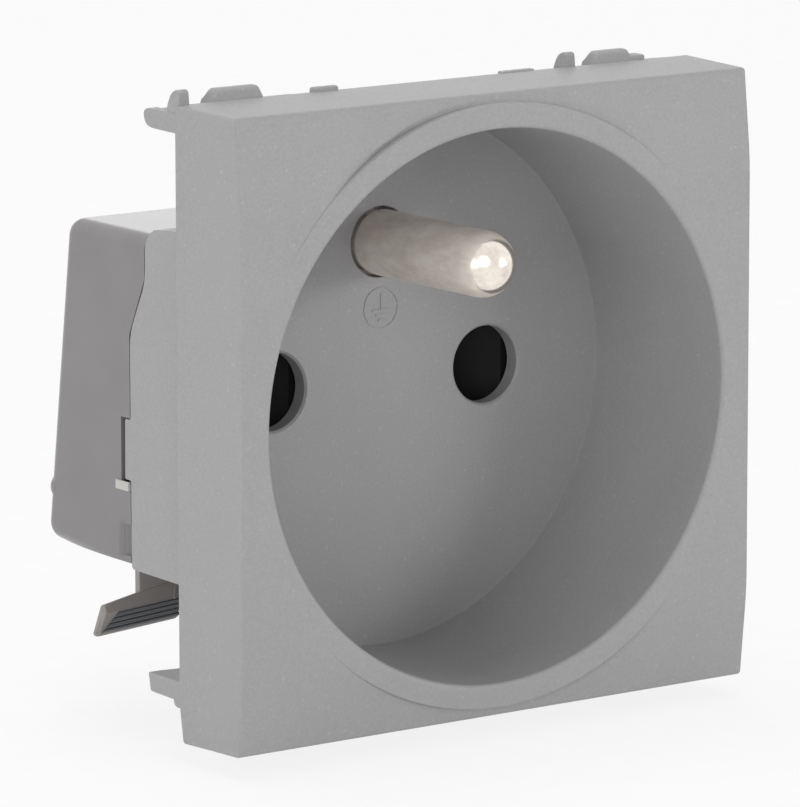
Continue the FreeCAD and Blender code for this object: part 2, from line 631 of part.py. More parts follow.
def contact_carrier():
    """Insulating tray behind the well floor, which guides the shutter and backs the contacts."""
    right = SHUTTER_HALF_WIDTH + SHUTTER_TRAVEL + 2 * SLIDE_GAP
    body = box(-CARRIER_HALF_WIDTH, right + CARRIER_WALL, CARRIER_FRONT_Y, CARRIER_BACK_Y, CARRIER_BOTTOM, CARRIER_TOP)
    tab_top = CAP_INNER_TOP - SEAM_GAP
    tab = box(-CARRIER_TAB_HALF_WIDTH, CARRIER_TAB_HALF_WIDTH, CARRIER_FRONT_Y, CARRIER_BACK_Y, CARRIER_TOP, tab_top)
    body = body.fuse(tab)
    front = CARRIER_FRONT_Y - 1
    left = SHUTTER_HALF_WIDTH + SLIDE_GAP
    body = body.cut(box(-left, right, front, CARRIER_BASE_Y, -POCKET_HALF_HEIGHT, POCKET_HALF_HEIGHT))
    body = body.cut(box(LUG_ARM_PLACE - SLIDE_GAP, SPRING_END_X + SLIDE_GAP, front, CARRIER_BASE_Y, 0, CHANNEL_TOP))
    for x in (-HOLE_X, HOLE_X):
        radius = HOLE_RADIUS + CARRIER_PIN_CLEARANCE - SHUTTER_OVERLAP
        body = body.cut(round_bar_y(x, 0, radius, CARRIER_BASE_Y - 1, CARRIER_BACK_Y + 1))
    notch = EARTH_STEM_RADIUS + EARTH_PIN_CLEARANCE
    body = body.cut(round_bar_y(0, EARTH_PIN_HEIGHT, notch, front, FAR))
    body = body.cut(box(-notch, notch, front, FAR, EARTH_PIN_HEIGHT, FAR))
    return body.fuse(locator()).removeSplitter()


def locator():
    """Arm of the carrier whose end shows in the seam on the left side."""
    back = CARRIER_FRONT_Y + LOCATOR_THICKNESS
    top = LOCATOR_PLACE + LOCATOR_HEIGHT
    x0 = -SKIRT_HALF_WIDTH - LOCATOR_PROUD
    arm = box(x0, -CARRIER_HALF_WIDTH + 1, CARRIER_FRONT_Y, back, LOCATOR_PLACE, top)
    arm = arm.fuse(box(x0, x0 + LOCATOR_END, SEAM_LOW_Y + SEAM_GAP, back, LOCATOR_PLACE, top))
    return arm.fuse(box(-CARRIER_HALF_WIDTH, -CARRIER_HALF_WIDTH + 1, CARRIER_FRONT_Y, back, LOCATOR_PLACE, CARRIER_BOTTOM + 0.5))


def tulip(x):
    """Turned socket with a collar, a taper down to the throat and a flared lip, slotted into two leaves."""
    start = STRAP_Y
    taper = start + TULIP_COLLAR_LENGTH
    throat = taper + TULIP_TAPER_LENGTH
    lip = throat + TULIP_THROAT_LENGTH
    end = lip + TULIP_LIP_LENGTH
    inner = [(TULIP_BORE_RADIUS, start), (TULIP_BORE_RADIUS, taper), (TULIP_THROAT_RADIUS, throat),
             (TULIP_THROAT_RADIUS, lip), (TULIP_LIP_RADIUS, end)]
    outer = [(radius + TULIP_SHEET, y) for radius, y in reversed(inner)]
    body = turned(inner + outer, x, 0)
    slot = box(x - TULIP_SLOT / 2, x + TULIP_SLOT / 2, taper, end + 1, -FAR, FAR)
    return body.cut(slot)


def clip_ring(x):
    """Open steel ring that keeps the two leaves of a contact closed."""
    inner = TULIP_THROAT_RADIUS + TULIP_SHEET + CLIP_RING_GAP
    outer = inner + CLIP_RING_SHEET
    start = STRAP_Y + TULIP_COLLAR_LENGTH + TULIP_TAPER_LENGTH + (TULIP_THROAT_LENGTH - CLIP_RING_WIDTH) / 2
    ring = round_bar_y(x, 0, outer, start, start + CLIP_RING_WIDTH)
    ring = ring.cut(round_bar_y(x, 0, inner, start - 1, start + CLIP_RING_WIDTH + 1))
    return ring.cut(box(x - CLIP_RING_OPENING / 2, x + CLIP_RING_OPENING / 2, 0, FAR, 0, FAR))


def terminal_slot(middle):
    """Opening of a terminal strip for the lever's arm and its swing."""
    reach = (STRIP_TOP - PIVOT_HEIGHT) * math.sin(math.radians(LEVER_RANGE)) + WEB_LENGTH
    half = STRIP_SLOT / 2
    return box(middle - half, middle + half, PIVOT_Y - reach, PIVOT_Y + reach, STRIP_BOTTOM - 1, STRIP_TOP + 1)


def terminal_strip(middle):
    """Fork under the two wires, open in the middle for the lever."""
    strip = box(middle - STRIP_HALF_WIDTH, middle + STRIP_HALF_WIDTH, STRIP_FRONT_Y, STRIP_REAR_Y, STRIP_BOTTOM, STRIP_TOP)
    return strip.cut(terminal_slot(middle))


def pole_contact(middle, side):
    """Contact of one pole: tulip, riser and terminal strip."""
    x = side * HOLE_X
    riser = box(x - RISER_WIDTH / 2, x + RISER_WIDTH / 2, STRAP_Y, STRAP_Y + STRAP_THICKNESS, STRIP_BOTTOM,
                -TULIP_BORE_RADIUS - 0.1)
    x0, x1 = sorted((x - side * RISER_WIDTH / 2, middle))
    link = box(x0, x1, STRAP_Y, STRIP_REAR_Y, STRIP_BOTTOM, STRIP_TOP)
    keep_wires_clear = link.cut(box(middle - STRIP_SLOT / 2, middle + STRIP_SLOT / 2, 0, STRAP_Y, -FAR, 0))
    return tulip(x).fuse([riser, keep_wires_clear, terminal_strip(middle)]).removeSplitter()


def earth_strap():
    """Stamped strap from the earth pin's tail down to the earth terminal."""
    half = EARTH_STRAP_WIDTH / 2
    fork = EARTH_FORK_WIDTH / 2
    top = CAP_INNER_TOP - SEAM_GAP
    wide = box(-half, half, STRAP_Y, STRAP_Y + STRAP_THICKNESS, STRIP_BOTTOM, top)
    wide = wide.cut(box(-fork, fork, 0, FAR, STRIP_TOP, EARTH_FORK_TOP))
    feet = box(-half, half, STRAP_Y, STRIP_REAR_Y, STRIP_BOTTOM, STRIP_TOP)
    hole = round_bar_y(0, EARTH_PIN_HEIGHT, EARTH_STEM_RADIUS, 0, FAR)
    slot = terminal_slot(0)
    return wide.fuse([feet, terminal_strip(0)]).cut(hole).cut(slot).removeSplitter()


def clamp_line():
    """Knee of a clamp leaf, from which it runs straight to its tip, and the slope of that run."""
    leg_y = rear_y(CLAMP_LEG_TOP) - CAP_WALL - CLAMP_WALL_GAP
    front = leg_y - CLAMP_SHEET
    slope = (CLAMP_KNEE_HEIGHT - CLAMP_TIP_HEIGHT) / (front - CLAMP_TIP_Y)
    return leg_y, front, slope


def clamp_spring(middle, side):
    """Bent leaf that stands on the rear wall above a wire hole and presses the wire on its strip."""
    leg_y, front, slope = clamp_line()
    rise = CLAMP_SHEET * math.hypot(1, slope)
    points = [
        (front, CLAMP_LEG_TOP),
        (leg_y, CLAMP_LEG_TOP),
        (leg_y, CLAMP_KNEE_HEIGHT + slope * CLAMP_SHEET),
        (CLAMP_TIP_Y, CLAMP_TIP_HEIGHT),
        (CLAMP_TIP_Y, CLAMP_TIP_HEIGHT + rise),
        (front, CLAMP_KNEE_HEIGHT + rise),
    ]
    x0, x1 = sorted((middle + side * CLAMP_INNER, middle + side * CLAMP_OUTER))
    return side_prism(points, x0, x1)


def nose_height():
    """The lever's nose lies just under the straight run of the two leaves."""
    slope = clamp_line()[2]
    leaf = CLAMP_TIP_HEIGHT + slope * (NOSE_Y - CLAMP_TIP_Y)
    return leaf - (NOSE_RADIUS + NOSE_GAP) * math.hypot(1, slope)


def lever_pad(x0, x1):
    """Finger pad under the cap, leaning back, with fine ridges across its face."""
    lean = PAD_LEAN / (PAD_TOP - PAD_BOTTOM)
    points = [(PAD_FRONT_Y, PAD_TOP)]
    step = (PAD_TOP - PAD_BOTTOM) / RIDGE_COUNT
    for number in range(RIDGE_COUNT):
        z = PAD_TOP - number * step
        face = PAD_FRONT_Y + lean * (PAD_TOP - z)
        points.append((face + RIDGE_DEPTH, z - step * 0.3))
        points.append((face + RIDGE_DEPTH, z - step * 0.5))
        points.append((face + lean * step, z - step * 0.8))
        points.append((face + lean * step, z - step))
    points += [(PAD_FRONT_Y + PAD_LEAN + PAD_THICKNESS, PAD_BOTTOM), (PAD_FRONT_Y + PAD_THICKNESS, PAD_TOP)]
    return side_prism(points, x0, x1)


def lever_shoulder(middle, outward, outer, inner):
    """Top of the pad, which rises towards the inner end and carries the stem."""
    front = PAD_FRONT_Y + SHOULDER_SET_BACK
    back = PAD_FRONT_Y + PAD_THICKNESS
    low = (PAD_TOP + PAD_BOTTOM) / 2
    outline = [(middle + outward * outer, low), (middle + outward * outer, SHOULDER_OUTER_TOP),
               (middle - outward * inner, SHOULDER_INNER_TOP), (middle - outward * inner, low)]
    return front_prism(outline, front, back + SHOULDER_SET_BACK)


def release_lever(middle, side):
    """Sprung lever: axle, web with a wedge nose under the leaves, stem and a finger pad outside."""
    half_web = WEB_WIDTH / 2
    nose_z = nose_height()
    axle = round_bar_x(PIVOT_Y, PIVOT_HEIGHT, PIVOT_RADIUS, middle - PIVOT_REACH, middle + PIVOT_REACH)
    nose = round_bar_x(NOSE_Y, nose_z, NOSE_RADIUS, middle - NOSE_REACH, middle + NOSE_REACH)
    y0 = PIVOT_Y - WEB_LENGTH / 2
    y1 = PIVOT_Y + WEB_LENGTH / 2
    arm = [(y0, STEM_TOP - 1), (y1, STEM_TOP - 1), (y1, PIVOT_HEIGHT), (NOSE_Y + NOSE_RADIUS, nose_z),
           (NOSE_Y - NOSE_RADIUS, nose_z), (y0, PIVOT_HEIGHT)]
    web = side_prism(arm, middle - half_web, middle + half_web)
    outward = side if side else 1
    even = (PAD_OUTER + PAD_INNER) / 2
    outer = PAD_OUTER if side else even
    inner = PAD_INNER if side else even
    stem_outer = STEM_OUTER if side else STEM_INNER
    n0, n1 = sorted((middle + outward * stem_outer, middle - outward * STEM_INNER))
    b0, b1 = sorted((middle + outward * outer, middle - outward * inner))
    stem = box(n0, n1, STEM_FRONT_Y, STEM_FRONT_Y + STEM_LENGTH, PAD_TOP - 1, STEM_TOP)
    shoulder = lever_shoulder(middle, outward, outer, inner)
    return axle.fuse([nose, web, stem, lever_pad(b0, b1), shoulder]).removeSplitter()


def save(shape, name):
    if not shape.isValid():
        raise ValueError(name + " isn't a valid shape")
    if len(shape.Solids) != 1:
        raise ValueError(f"{name} has {len(shape.Solids)} solids")
    shape.Solids[0].exportStep(os.path.join("parts", name + ".step"))
    box_size = shape.BoundBox
    print(f"{name}: {shape.Volume:.1f} mm3, {box_size.XLength:.1f} x {box_size.YLength:.1f} x {box_size.ZLength:.1f}")


def main():
    os.makedirs("parts", exist_ok=True)
    save(front_cover(), "front_cover")
    save(rear_cap(), "rear_cap")
    save(contact_carrier(), "contact_carrier")
    save(shutter(), "shutter")
    save(shutter_spring(), "shutter_spring")
    save(earth_pin(), "earth_pin")
    save(earth_strap(), "earth_strap")
    for name, (middle, side) in poles().items():
        save(release_lever(middle, side), name + "_release_lever")
        save(clamp_spring(middle, -1), name + "_clamp_spring_a")
        save(clamp_spring(middle, 1), name + "_clamp_spring_b")
        if side:
            save(pole_contact(middle, side), name + "_contact")
            save(clip_ring(side * HOLE_X), name + "_contact_clip")


main()
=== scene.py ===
import json
import math

import bmesh
import bpy
from bpy.props import FloatProperty, FloatVectorProperty, PointerProperty
from bpy.types import Operator, Panel, PropertyGroup
from mathutils import Matrix, Vector


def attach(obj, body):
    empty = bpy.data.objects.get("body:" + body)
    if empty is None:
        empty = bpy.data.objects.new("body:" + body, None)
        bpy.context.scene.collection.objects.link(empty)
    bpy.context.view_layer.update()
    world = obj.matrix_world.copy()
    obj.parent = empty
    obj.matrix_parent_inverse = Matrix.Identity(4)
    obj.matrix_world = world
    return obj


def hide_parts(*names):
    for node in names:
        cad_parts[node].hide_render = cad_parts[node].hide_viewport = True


bl_info = {
    "name": "Grounded wall socket",
    "version": (1, 0, 0),
    "blender": (4, 5, 0),
    "location": "View3D > Sidebar > Wall socket",
    "description": "Shapes and finishes for a 45 mm wall socket module with a male earth pin",
    "category": "Add Mesh",
}

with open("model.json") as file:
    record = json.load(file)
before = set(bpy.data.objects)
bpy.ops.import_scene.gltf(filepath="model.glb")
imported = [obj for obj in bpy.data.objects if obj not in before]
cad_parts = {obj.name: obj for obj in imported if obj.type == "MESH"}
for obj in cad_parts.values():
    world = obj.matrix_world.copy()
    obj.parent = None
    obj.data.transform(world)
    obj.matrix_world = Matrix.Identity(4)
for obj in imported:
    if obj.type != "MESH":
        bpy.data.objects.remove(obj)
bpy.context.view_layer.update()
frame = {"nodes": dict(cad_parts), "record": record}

# Shapes are drawn in millimetres and scaled to metres when a piece is finished.
MM = 0.001
# A depth beyond every piece, for cutters.
FAR = 60.0
# Edges that turn by more than this stay sharp in the shading.
SHARP_ANGLE = math.radians(32)


def linear(hex_colour):
    """An sRGB hex colour as linear red, green and blue."""
    parts = [int(hex_colour[i:i + 2], 16) / 255 for i in (1, 3, 5)]
    return tuple(c / 12.92 if c <= 0.04045 else ((c + 0.055) / 1.055) ** 2.4 for c in parts)


def length(name, description, millimetres):
    """A length property whose default is given in millimetres."""
    return FloatProperty(name=name, description=description, default=millimetres * MM, min=0.0,
                         subtype="DISTANCE", unit="LENGTH", precision=5)


def colour(name, description, hex_colour):
    """A colour property whose default is an sRGB hex colour."""
    return FloatVectorProperty(name=name, description=description, default=linear(hex_colour), min=0.0, max=1.0,
                               size=3, subtype="COLOR")


class CoverSizes(PropertyGroup):
    """Sizes of the front cover."""
    well_radius: length("Well radius", "Inner radius of the plug well at its mouth", 19.87)
    floor_radius: length("Floor radius", "Inner radius of the plug well at its floor", 19.65)
    rim_round: length("Rim rounding", "Rounding where the well meets the flat collar", 0.3)
    floor_round: length("Floor rounding", "Rounding between the well's wall and its floor", 0.04)
    collar_radius: length("Collar radius", "Outer radius of the flat collar round the well", 21.66)
    edge_round: length("Plate edge", "Rounding of the plate's front edges", 0.2)
    corner_round: length("Plate corners", "Rounding of the plate's four corners", 0.25)
    hole_radius: length("Pin hole radius", "Radius of the two pin holes", 2.88)
    hole_edge: length("Pin hole edge", "Small bevel round the pin holes", 0.16)
    roll_radius: length("Face roll", "Radius with which the front face rolls back above and below", 25.0)


class CapSizes(PropertyGroup):
    """Sizes of the rear cap."""
    rear_round: length("Rear rounding", "Rounding of the cap's rear and side edges", 1.1)
    foot_round: length("Foot rounding", "Rounding of the cap's lower rear edge", 1.5)
    wall: length("Wall", "Thickness of the cap's walls", 1.3)


class Finishes(PropertyGroup):
    """Colours of the socket's materials."""
    cover: colour("Cover", "Metal-flake grey of the front cover", "#A8A7A8")
    cap: colour("Cap", "Plain grey of the rear cap", "#878485")
    carrier: colour("Carrier", "Off-white of the insulating tray", "#C9C7C2")
    # The shutter's near-black is its own colour and also painted shade for the deep, unlit hole behind each pin hole.
    shutter: colour("Shutter", "Black of the safety shutter", "#0E0E0F")
    lever: colour("Lever", "Warm grey of the release levers", "#9A9693")
    # The grip's blue-grey is the pads' own tint, made darker as painted shade for their ridged faces, which look down.
    grip: colour("Lever grip", "Blue-grey of the ridged finger pads", "#4B5158")
    nickel: colour("Earth pin", "Nickel plate of the earth pin", "#F4E6DB")
    brass: colour("Contacts", "Brass of the contacts and the earth strap", "#D8B46A")
    steel: colour("Springs", "Spring steel of the clamps, clips and the coil", "#B9BABC")
    floor: colour("Floor", "Pale floor and backdrop", "#FFFFFF")


# Mesh helpers


def in_mm(value):
    """A length property's value in millimetres."""
    return value / MM


def side_prism(outline, x0, x1, segments=6):
    """Extrudes a side outline of (y, z, corner length) along X, with its corners rounded first."""
    mesh = bmesh.new()
    corners = [mesh.verts.new((x0, y, z)) for y, z, _ in outline]
    rounds = [(corner, size) for corner, (_, _, size) in zip(corners, outline) if size]
    mesh.faces.new(corners)
    for corner, size in rounds:
        bmesh.ops.bevel(mesh, geom=[corner], offset=size, offset_type="OFFSET", segments=segments, profile=0.5,
                        affect="VERTICES", material=-1)
    made = bmesh.ops.extrude_face_region(mesh, geom=mesh.faces[:])
    moved = [part for part in made["geom"] if isinstance(part, bmesh.types.BMVert)]
    bmesh.ops.translate(mesh, verts=moved, vec=(x1 - x0, 0, 0))
    bmesh.ops.recalc_face_normals(mesh, faces=mesh.faces[:])
    return mesh


def block(x0, x1, y0, y1, z0, z1, rounding=0.0, segments=3, choose=None):
    """A box with its edges rounded, or only those that choose(edge) picks."""
    mesh = bmesh.new()
    bmesh.ops.create_cube(mesh, size=1.0)
    bmesh.ops.scale(mesh, verts=mesh.verts[:], vec=(x1 - x0, y1 - y0, z1 - z0))
    bmesh.ops.translate(mesh, verts=mesh.verts[:], vec=((x0 + x1) / 2, (y0 + y1) / 2, (z0 + z1) / 2))
    if rounding:
        round_edges(mesh, rounding, segments, choose)
    return mesh


def round_edges(mesh, size, segments=3, choose=None):
    """Rounds a mesh's sharp edges, or only those of them that choose(edge) picks."""
    edges = [edge for edge in mesh.edges if len(edge.link_faces) == 2 and edge.calc_face_angle(0) > 0.3]
    if choose:
        edges = [edge for edge in edges if choose(edge)]
    bmesh.ops.bevel(mesh, geom=edges, offset=size, offset_type="OFFSET", segments=segments, profile=0.5,
                    affect="EDGES", material=-1)


def turned(outline, x, z, steps=96):
    """Spins an outline of (radius, y) about an axis along Y."""
    mesh = bmesh.new()
    points = [mesh.verts.new((x + radius, y, z)) for radius, y in outline]
    edges = [mesh.edges.new(pair) for pair in zip(points, points[1:])]
    bmesh.ops.spin(mesh, geom=points + edges, cent=(x, 0, z), axis=(0, 1, 0), angle=2 * math.pi, steps=steps,
                   use_merge=True)
    bmesh.ops.remove_doubles(mesh, verts=mesh.verts[:], dist=0.0005)
    bmesh.ops.recalc_face_normals(mesh, faces=mesh.faces[:])
    return mesh


def arc(centre, radius, start, end, steps):
    """Points of (radius, y) round a centre, from one angle to the other in degrees."""
    turns = [math.radians(start + (end - start) * i / steps) for i in range(steps + 1)]
    return [(centre[0] + radius * math.cos(turn), centre[1] + radius * math.sin(turn)) for turn in turns]


def joined(*meshes):
    """One mesh from several closed shells."""
    whole = meshes[0]
    for mesh in meshes[1:]:
        held = bpy.data.meshes.new("held")
        mesh.to_mesh(held)
        mesh.free()
        whole.from_mesh(held)
        bpy.data.meshes.remove(held)
    return whole


def as_object(mesh, name):
    """Turns a mesh that is being built into an object of the scene."""
    data = bpy.data.meshes.new(name)
    mesh.to_mesh(data)
    mesh.free()
    made = bpy.data.objects.new(name, data)
    bpy.context.scene.collection.objects.link(made)
    return made


def combined(mesh, others, operation):
    """The mesh with the others cut away or added, by exact booleans."""
    base = as_object(mesh, "base")
    helpers = [as_object(other, "helper") for other in others]
    for helper in helpers:
        step = base.modifiers.new("step", "BOOLEAN")
        step.operation = operation
        step.solver = "EXACT"
        step.object = helper
    graph = bpy.context.evaluated_depsgraph_get()
    data = bpy.data.meshes.new_from_object(base.evaluated_get(graph))
    result = bmesh.new()
    result.from_mesh(data)
    bpy.data.meshes.remove(data)
    for used in [base] + helpers:
        held = used.data
        bpy.data.objects.remove(used)
        bpy.data.meshes.remove(held)
    return result


def piece(mesh, name, material, body, replaces=()):
    """Finishes a mesh as an object in metres that rides on a body."""
    made = as_object(mesh, name)
    made.data.transform(Matrix.Scale(MM, 4))
    made.data.materials.clear()
    made.data.materials.append(material)
    made.data.shade_smooth()
    made.data.set_sharp_from_angle(angle=SHARP_ANGLE)
    normals = made.modifiers.new("Weighted normals", "WEIGHTED_NORMAL")
    normals.keep_sharp = True
    normals.weight = 100
    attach(made, body)
    if replaces:
        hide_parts(*replaces)
    return made


# Material helpers


def add(tree, kind, inputs=None, stops=(), **settings):
    """Adds a node with its settings and colour stops, and with each input linked or given a value."""
    node = tree.nodes.new(kind)
    for name, value in settings.items():
        setattr(node, name, value)
    for name, value in (inputs or {}).items():
        if isinstance(value, bpy.types.NodeSocket):
            tree.links.new(value, node.inputs[name])
        else:
            node.inputs[name].default_value = value
    for index, (place, value) in enumerate(stops):
        node.color_ramp.elements[index].position = place
        node.color_ramp.elements[index].color = value
    return node


def new_material(name):
    """An empty node material and its tree."""
    material = bpy.data.materials.new(name)
    material.use_nodes = True
    material.node_tree.nodes.clear()
    return material, material.node_tree


def grains_per_metre(millimetres):
    """A texture's scale for a grain of a real size."""
    return 1.0 / (millimetres * MM)


def shades(base, amount):
    """A darker and a lighter shade of a colour, as the two stops of a ramp."""
    dark = tuple(c * (1 - amount) for c in base) + (1.0,)
    light = tuple(min(1.0, c * (1 + amount)) for c in base) + (1.0,)
    return [(0.3, dark), (0.7, light)]


def greys(low, high):
    """Two stops of a ramp that gives a plain value."""
    return [(0.3, (low, low, low, 1.0)), (0.7, (high, high, high, 1.0))]


def flake_plastic(base):
    """Polycarbonate filled with very fine aluminium flake, moulded with a satin spark-eroded skin.
    From near it is an even grey with a faint grain and few pale specks."""
    material, tree = new_material("Metal-flake polycarbonate")
    place = add(tree, "ShaderNodeTexCoord").outputs["Object"]
    grain = add(tree, "ShaderNodeTexNoise", {"Vector": place, "Scale": grains_per_metre(0.2), "Detail": 2.0,
                                             "Roughness": 0.6}).outputs["Fac"]
    cloud = add(tree, "ShaderNodeTexNoise", {"Vector": place, "Scale": grains_per_metre(5.0), "Detail": 2.0})
    flake = add(tree, "ShaderNodeTexVoronoi", {"Vector": place, "Scale": grains_per_metre(0.2)}, feature="F1")
    grained = add(tree, "ShaderNodeValToRGB", {"Fac": grain}, shades(base, 0.055))
    spark = add(tree, "ShaderNodeValToRGB", {"Fac": flake.outputs["Color"]},
                [(0.86, (0, 0, 0, 1)), (1.0, (0.075, 0.075, 0.075, 1))])
    sparkling = add(tree, "ShaderNodeMix", {6: grained.outputs["Color"], 7: spark.outputs["Color"], 0: 1.0},
                    data_type="RGBA", blend_type="ADD")
    cloudy = add(tree, "ShaderNodeValToRGB", {"Fac": cloud.outputs["Fac"]}, greys(0.975, 1.0))
    skin = add(tree, "ShaderNodeMix", {6: sparkling.outputs[2], 7: cloudy.outputs["Color"], 0: 1.0},
               data_type="RGBA", blend_type="MULTIPLY")
    rough = add(tree, "ShaderNodeValToRGB", {"Fac": grain}, greys(0.58, 0.48))
    relief = add(tree, "ShaderNodeBump", {"Height": grain, "Strength": 0.12, "Distance": 0.00002})
    shader = add(tree, "ShaderNodeBsdfPrincipled", {"Base Color": skin.outputs[2], "Roughness": rough.outputs["Color"],
                                                    "Normal": relief.outputs["Normal"], "IOR": 1.5})
    add(tree, "ShaderNodeOutputMaterial", {"Surface": shader.outputs["BSDF"]})
    return material


def plain_plastic(name, base, roughness, grain_mm, relief_strength, amount=0.03, shine=0.5):
    """Moulded technical plastic: an even colour with the faint cloudiness and skin of an injection mould."""
    material, tree = new_material(name)
    place = add(tree, "ShaderNodeTexCoord").outputs["Object"]
    grain = add(tree, "ShaderNodeTexNoise", {"Vector": place, "Scale": grains_per_metre(grain_mm), "Detail": 3.0})
    cloud = add(tree, "ShaderNodeTexNoise", {"Vector": place, "Scale": grains_per_metre(4.0), "Detail": 2.0})
    tone = add(tree, "ShaderNodeValToRGB", {"Fac": cloud.outputs["Fac"]}, shades(base, amount))
    rough = add(tree, "ShaderNodeValToRGB", {"Fac": grain.outputs["Fac"]}, greys(roughness - 0.06, roughness + 0.06))
    relief = add(tree, "ShaderNodeBump", {"Height": grain.outputs["Fac"], "Strength": relief_strength,
                                          "Distance": 0.00003})
    shader = add(tree, "ShaderNodeBsdfPrincipled", {"Base Color": tone.outputs["Color"], "IOR": 1.5,
                                                    "Specular IOR Level": shine,
                                                    "Roughness": rough.outputs["Color"],
                                                    "Normal": relief.outputs["Normal"]})
    add(tree, "ShaderNodeOutputMaterial", {"Surface": shader.outputs["BSDF"]})
    return material


def metal(name, base, roughness, grain_mm, stretch, amount, relief_strength):
    """Bare or plated metal, with the streaks or blotches that its making and handling leave."""
    material, tree = new_material(name)
    place = add(tree, "ShaderNodeTexCoord").outputs["Object"]
    drawn = add(tree, "ShaderNodeMapping", {"Vector": place, "Scale": stretch})
    grain = add(tree, "ShaderNodeTexNoise", {"Vector": drawn.outputs["Vector"], "Scale": grains_per_metre(grain_mm),
                                             "Detail": 4.0, "Roughness": 0.6})
    blotch = add(tree, "ShaderNodeTexNoise", {"Vector": place, "Scale": grains_per_metre(1.3), "Detail": 3.0})
    tone = add(tree, "ShaderNodeValToRGB", {"Fac": blotch.outputs["Fac"]}, shades(base, amount))
    rough = add(tree, "ShaderNodeValToRGB", {"Fac": grain.outputs["Fac"]}, greys(roughness - 0.08, roughness + 0.08))
    relief = add(tree, "ShaderNodeBump", {"Height": grain.outputs["Fac"], "Strength": relief_strength,
                                          "Distance": 0.00002})
    shader = add(tree, "ShaderNodeBsdfPrincipled", {"Base Color": tone.outputs["Color"], "Metallic": 1.0,
                                                    "Roughness": rough.outputs["Color"],
                                                    "Normal": relief.outputs["Normal"]})
    add(tree, "ShaderNodeOutputMaterial", {"Surface": shader.outputs["BSDF"]})
    return material


def plated_pin(base):
    """Nickel plate: satin and handled on the turned shank, polished where the end is domed."""
    material, tree = new_material("Nickel-plated brass")
    place = add(tree, "ShaderNodeTexCoord").outputs["Object"]
    depth = add(tree, "ShaderNodeSeparateXYZ", {"Vector": place}).outputs["Y"]
    shank = add(tree, "ShaderNodeMapRange", {"Value": depth, "From Min": -6.85 * MM, "From Max": -6.6 * MM})
    drawn = add(tree, "ShaderNodeMapping", {"Vector": place, "Scale": (1.0, 0.45, 1.0)})
    blotch = add(tree, "ShaderNodeTexNoise", {"Vector": drawn.outputs["Vector"], "Scale": grains_per_metre(1.6),
                                              "Detail": 6.0, "Roughness": 0.7})
    tone = add(tree, "ShaderNodeValToRGB", {"Fac": blotch.outputs["Fac"]}, shades(base, 0.2))
    rough = add(tree, "ShaderNodeMapRange", {"Value": shank.outputs["Result"], "To Min": 0.15, "To Max": 0.4})
    plate = add(tree, "ShaderNodeMapRange", {"Value": shank.outputs["Result"], "To Min": 1.0, "To Max": 0.12})
    relief = add(tree, "ShaderNodeBump", {"Height": blotch.outputs["Fac"], "Strength": 0.08, "Distance": 0.00003})
    shader = add(tree, "ShaderNodeBsdfPrincipled", {"Base Color": tone.outputs["Color"],
                                                    "Metallic": plate.outputs["Result"],
                                                    "Roughness": rough.outputs["Result"],
                                                    "Normal": relief.outputs["Normal"]})
    add(tree, "ShaderNodeOutputMaterial", {"Surface": shader.outputs["BSDF"]})
    return material


# Front cover

FRONT = -7.7
WELL_FLOOR = 7.0
TUBE_END = 8.3
TUBE_RADIUS = 20.75
FRONT_HALF = (22.35, 22.35)
BACK_HALF = (22.5, 22.55)
POCKET_HALF = 20.6
POCKET_FLOOR = -5.2
POCKET_CORNER = 0.6
# The pocket behind the plate is cut only where it would be wider than this.
POCKET_LEAST = 0.8
ROLL_START = 14.5
ROLL_ANGLE = math.radians(6.0)
PIN_PLACES = (-9.5, 9.5)
EARTH_HEIGHT = 10.0
SYMBOL_X, SYMBOL_Z = 0.05, 5.14
SYMBOL_RELIEF = 0.05
SYMBOL_ROOT = 0.02
# The rolled face starts this far outside the collar.
FACE_START = 0.38
# The line by the collar: its share of the roll, more at the upper left, where it is also sunk.
LINE_SHARE = 0.88
LINE_MORE = 0.55
LINE_SUNK = 0.6
LINE_TURN = math.radians(130)
SUNK_TURN = math.radians(128)
# The plate's rear edge steps forward below this height, by this much per millimetre.
REAR_SLOPE_START = -19.8
REAR_SLOPE = 0.16
CORNER_STEPS = 6
SIDE_STEPS = 56


def spokes(corner_round):
    """Directions from the well's axis: points along the four sides and round the four corners."""
    half = FRONT_HALF[0]
    reach = math.atan((half - corner_round) / half)
    found = []
    for quarter in range(4):
        for step in range(1, SIDE_STEPS):
            turn = reach * (2 * step / SIDE_STEPS - 1)
            found.append((quarter, "side", math.tan(turn) / math.tan(reach)))
        for step in range(CORNER_STEPS + 1):
            found.append((quarter, "corner", math.pi / 2 * step / CORNER_STEPS))
    return found


def on_square(spoke, half, corner_round):
    """Point of a spoke on a rounded rectangle."""
    quarter, kind, value = spoke
    wide, high = half if quarter % 2 == 0 else half[::-1]
    if kind == "side":
        along, across = wide, value * (high - corner_round)
    else:
        along = wide - corner_round + corner_round * math.cos(value)
        across = high - corner_round + corner_round * math.sin(value)
    for _ in range(quarter):
        along, across = -across, along
    return along, across


def fall(z, roll_radius):
    """How far the front face has rolled back at a height."""
    over = abs(z) - ROLL_START
    if over <= 0:
        return 0.0
    reach = roll_radius * math.sin(ROLL_ANGLE)
    if over < reach:
        return roll_radius - math.sqrt(roll_radius ** 2 - over ** 2)
    return roll_radius * (1 - math.cos(ROLL_ANGLE)) + (over - reach) * math.tan(ROLL_ANGLE)


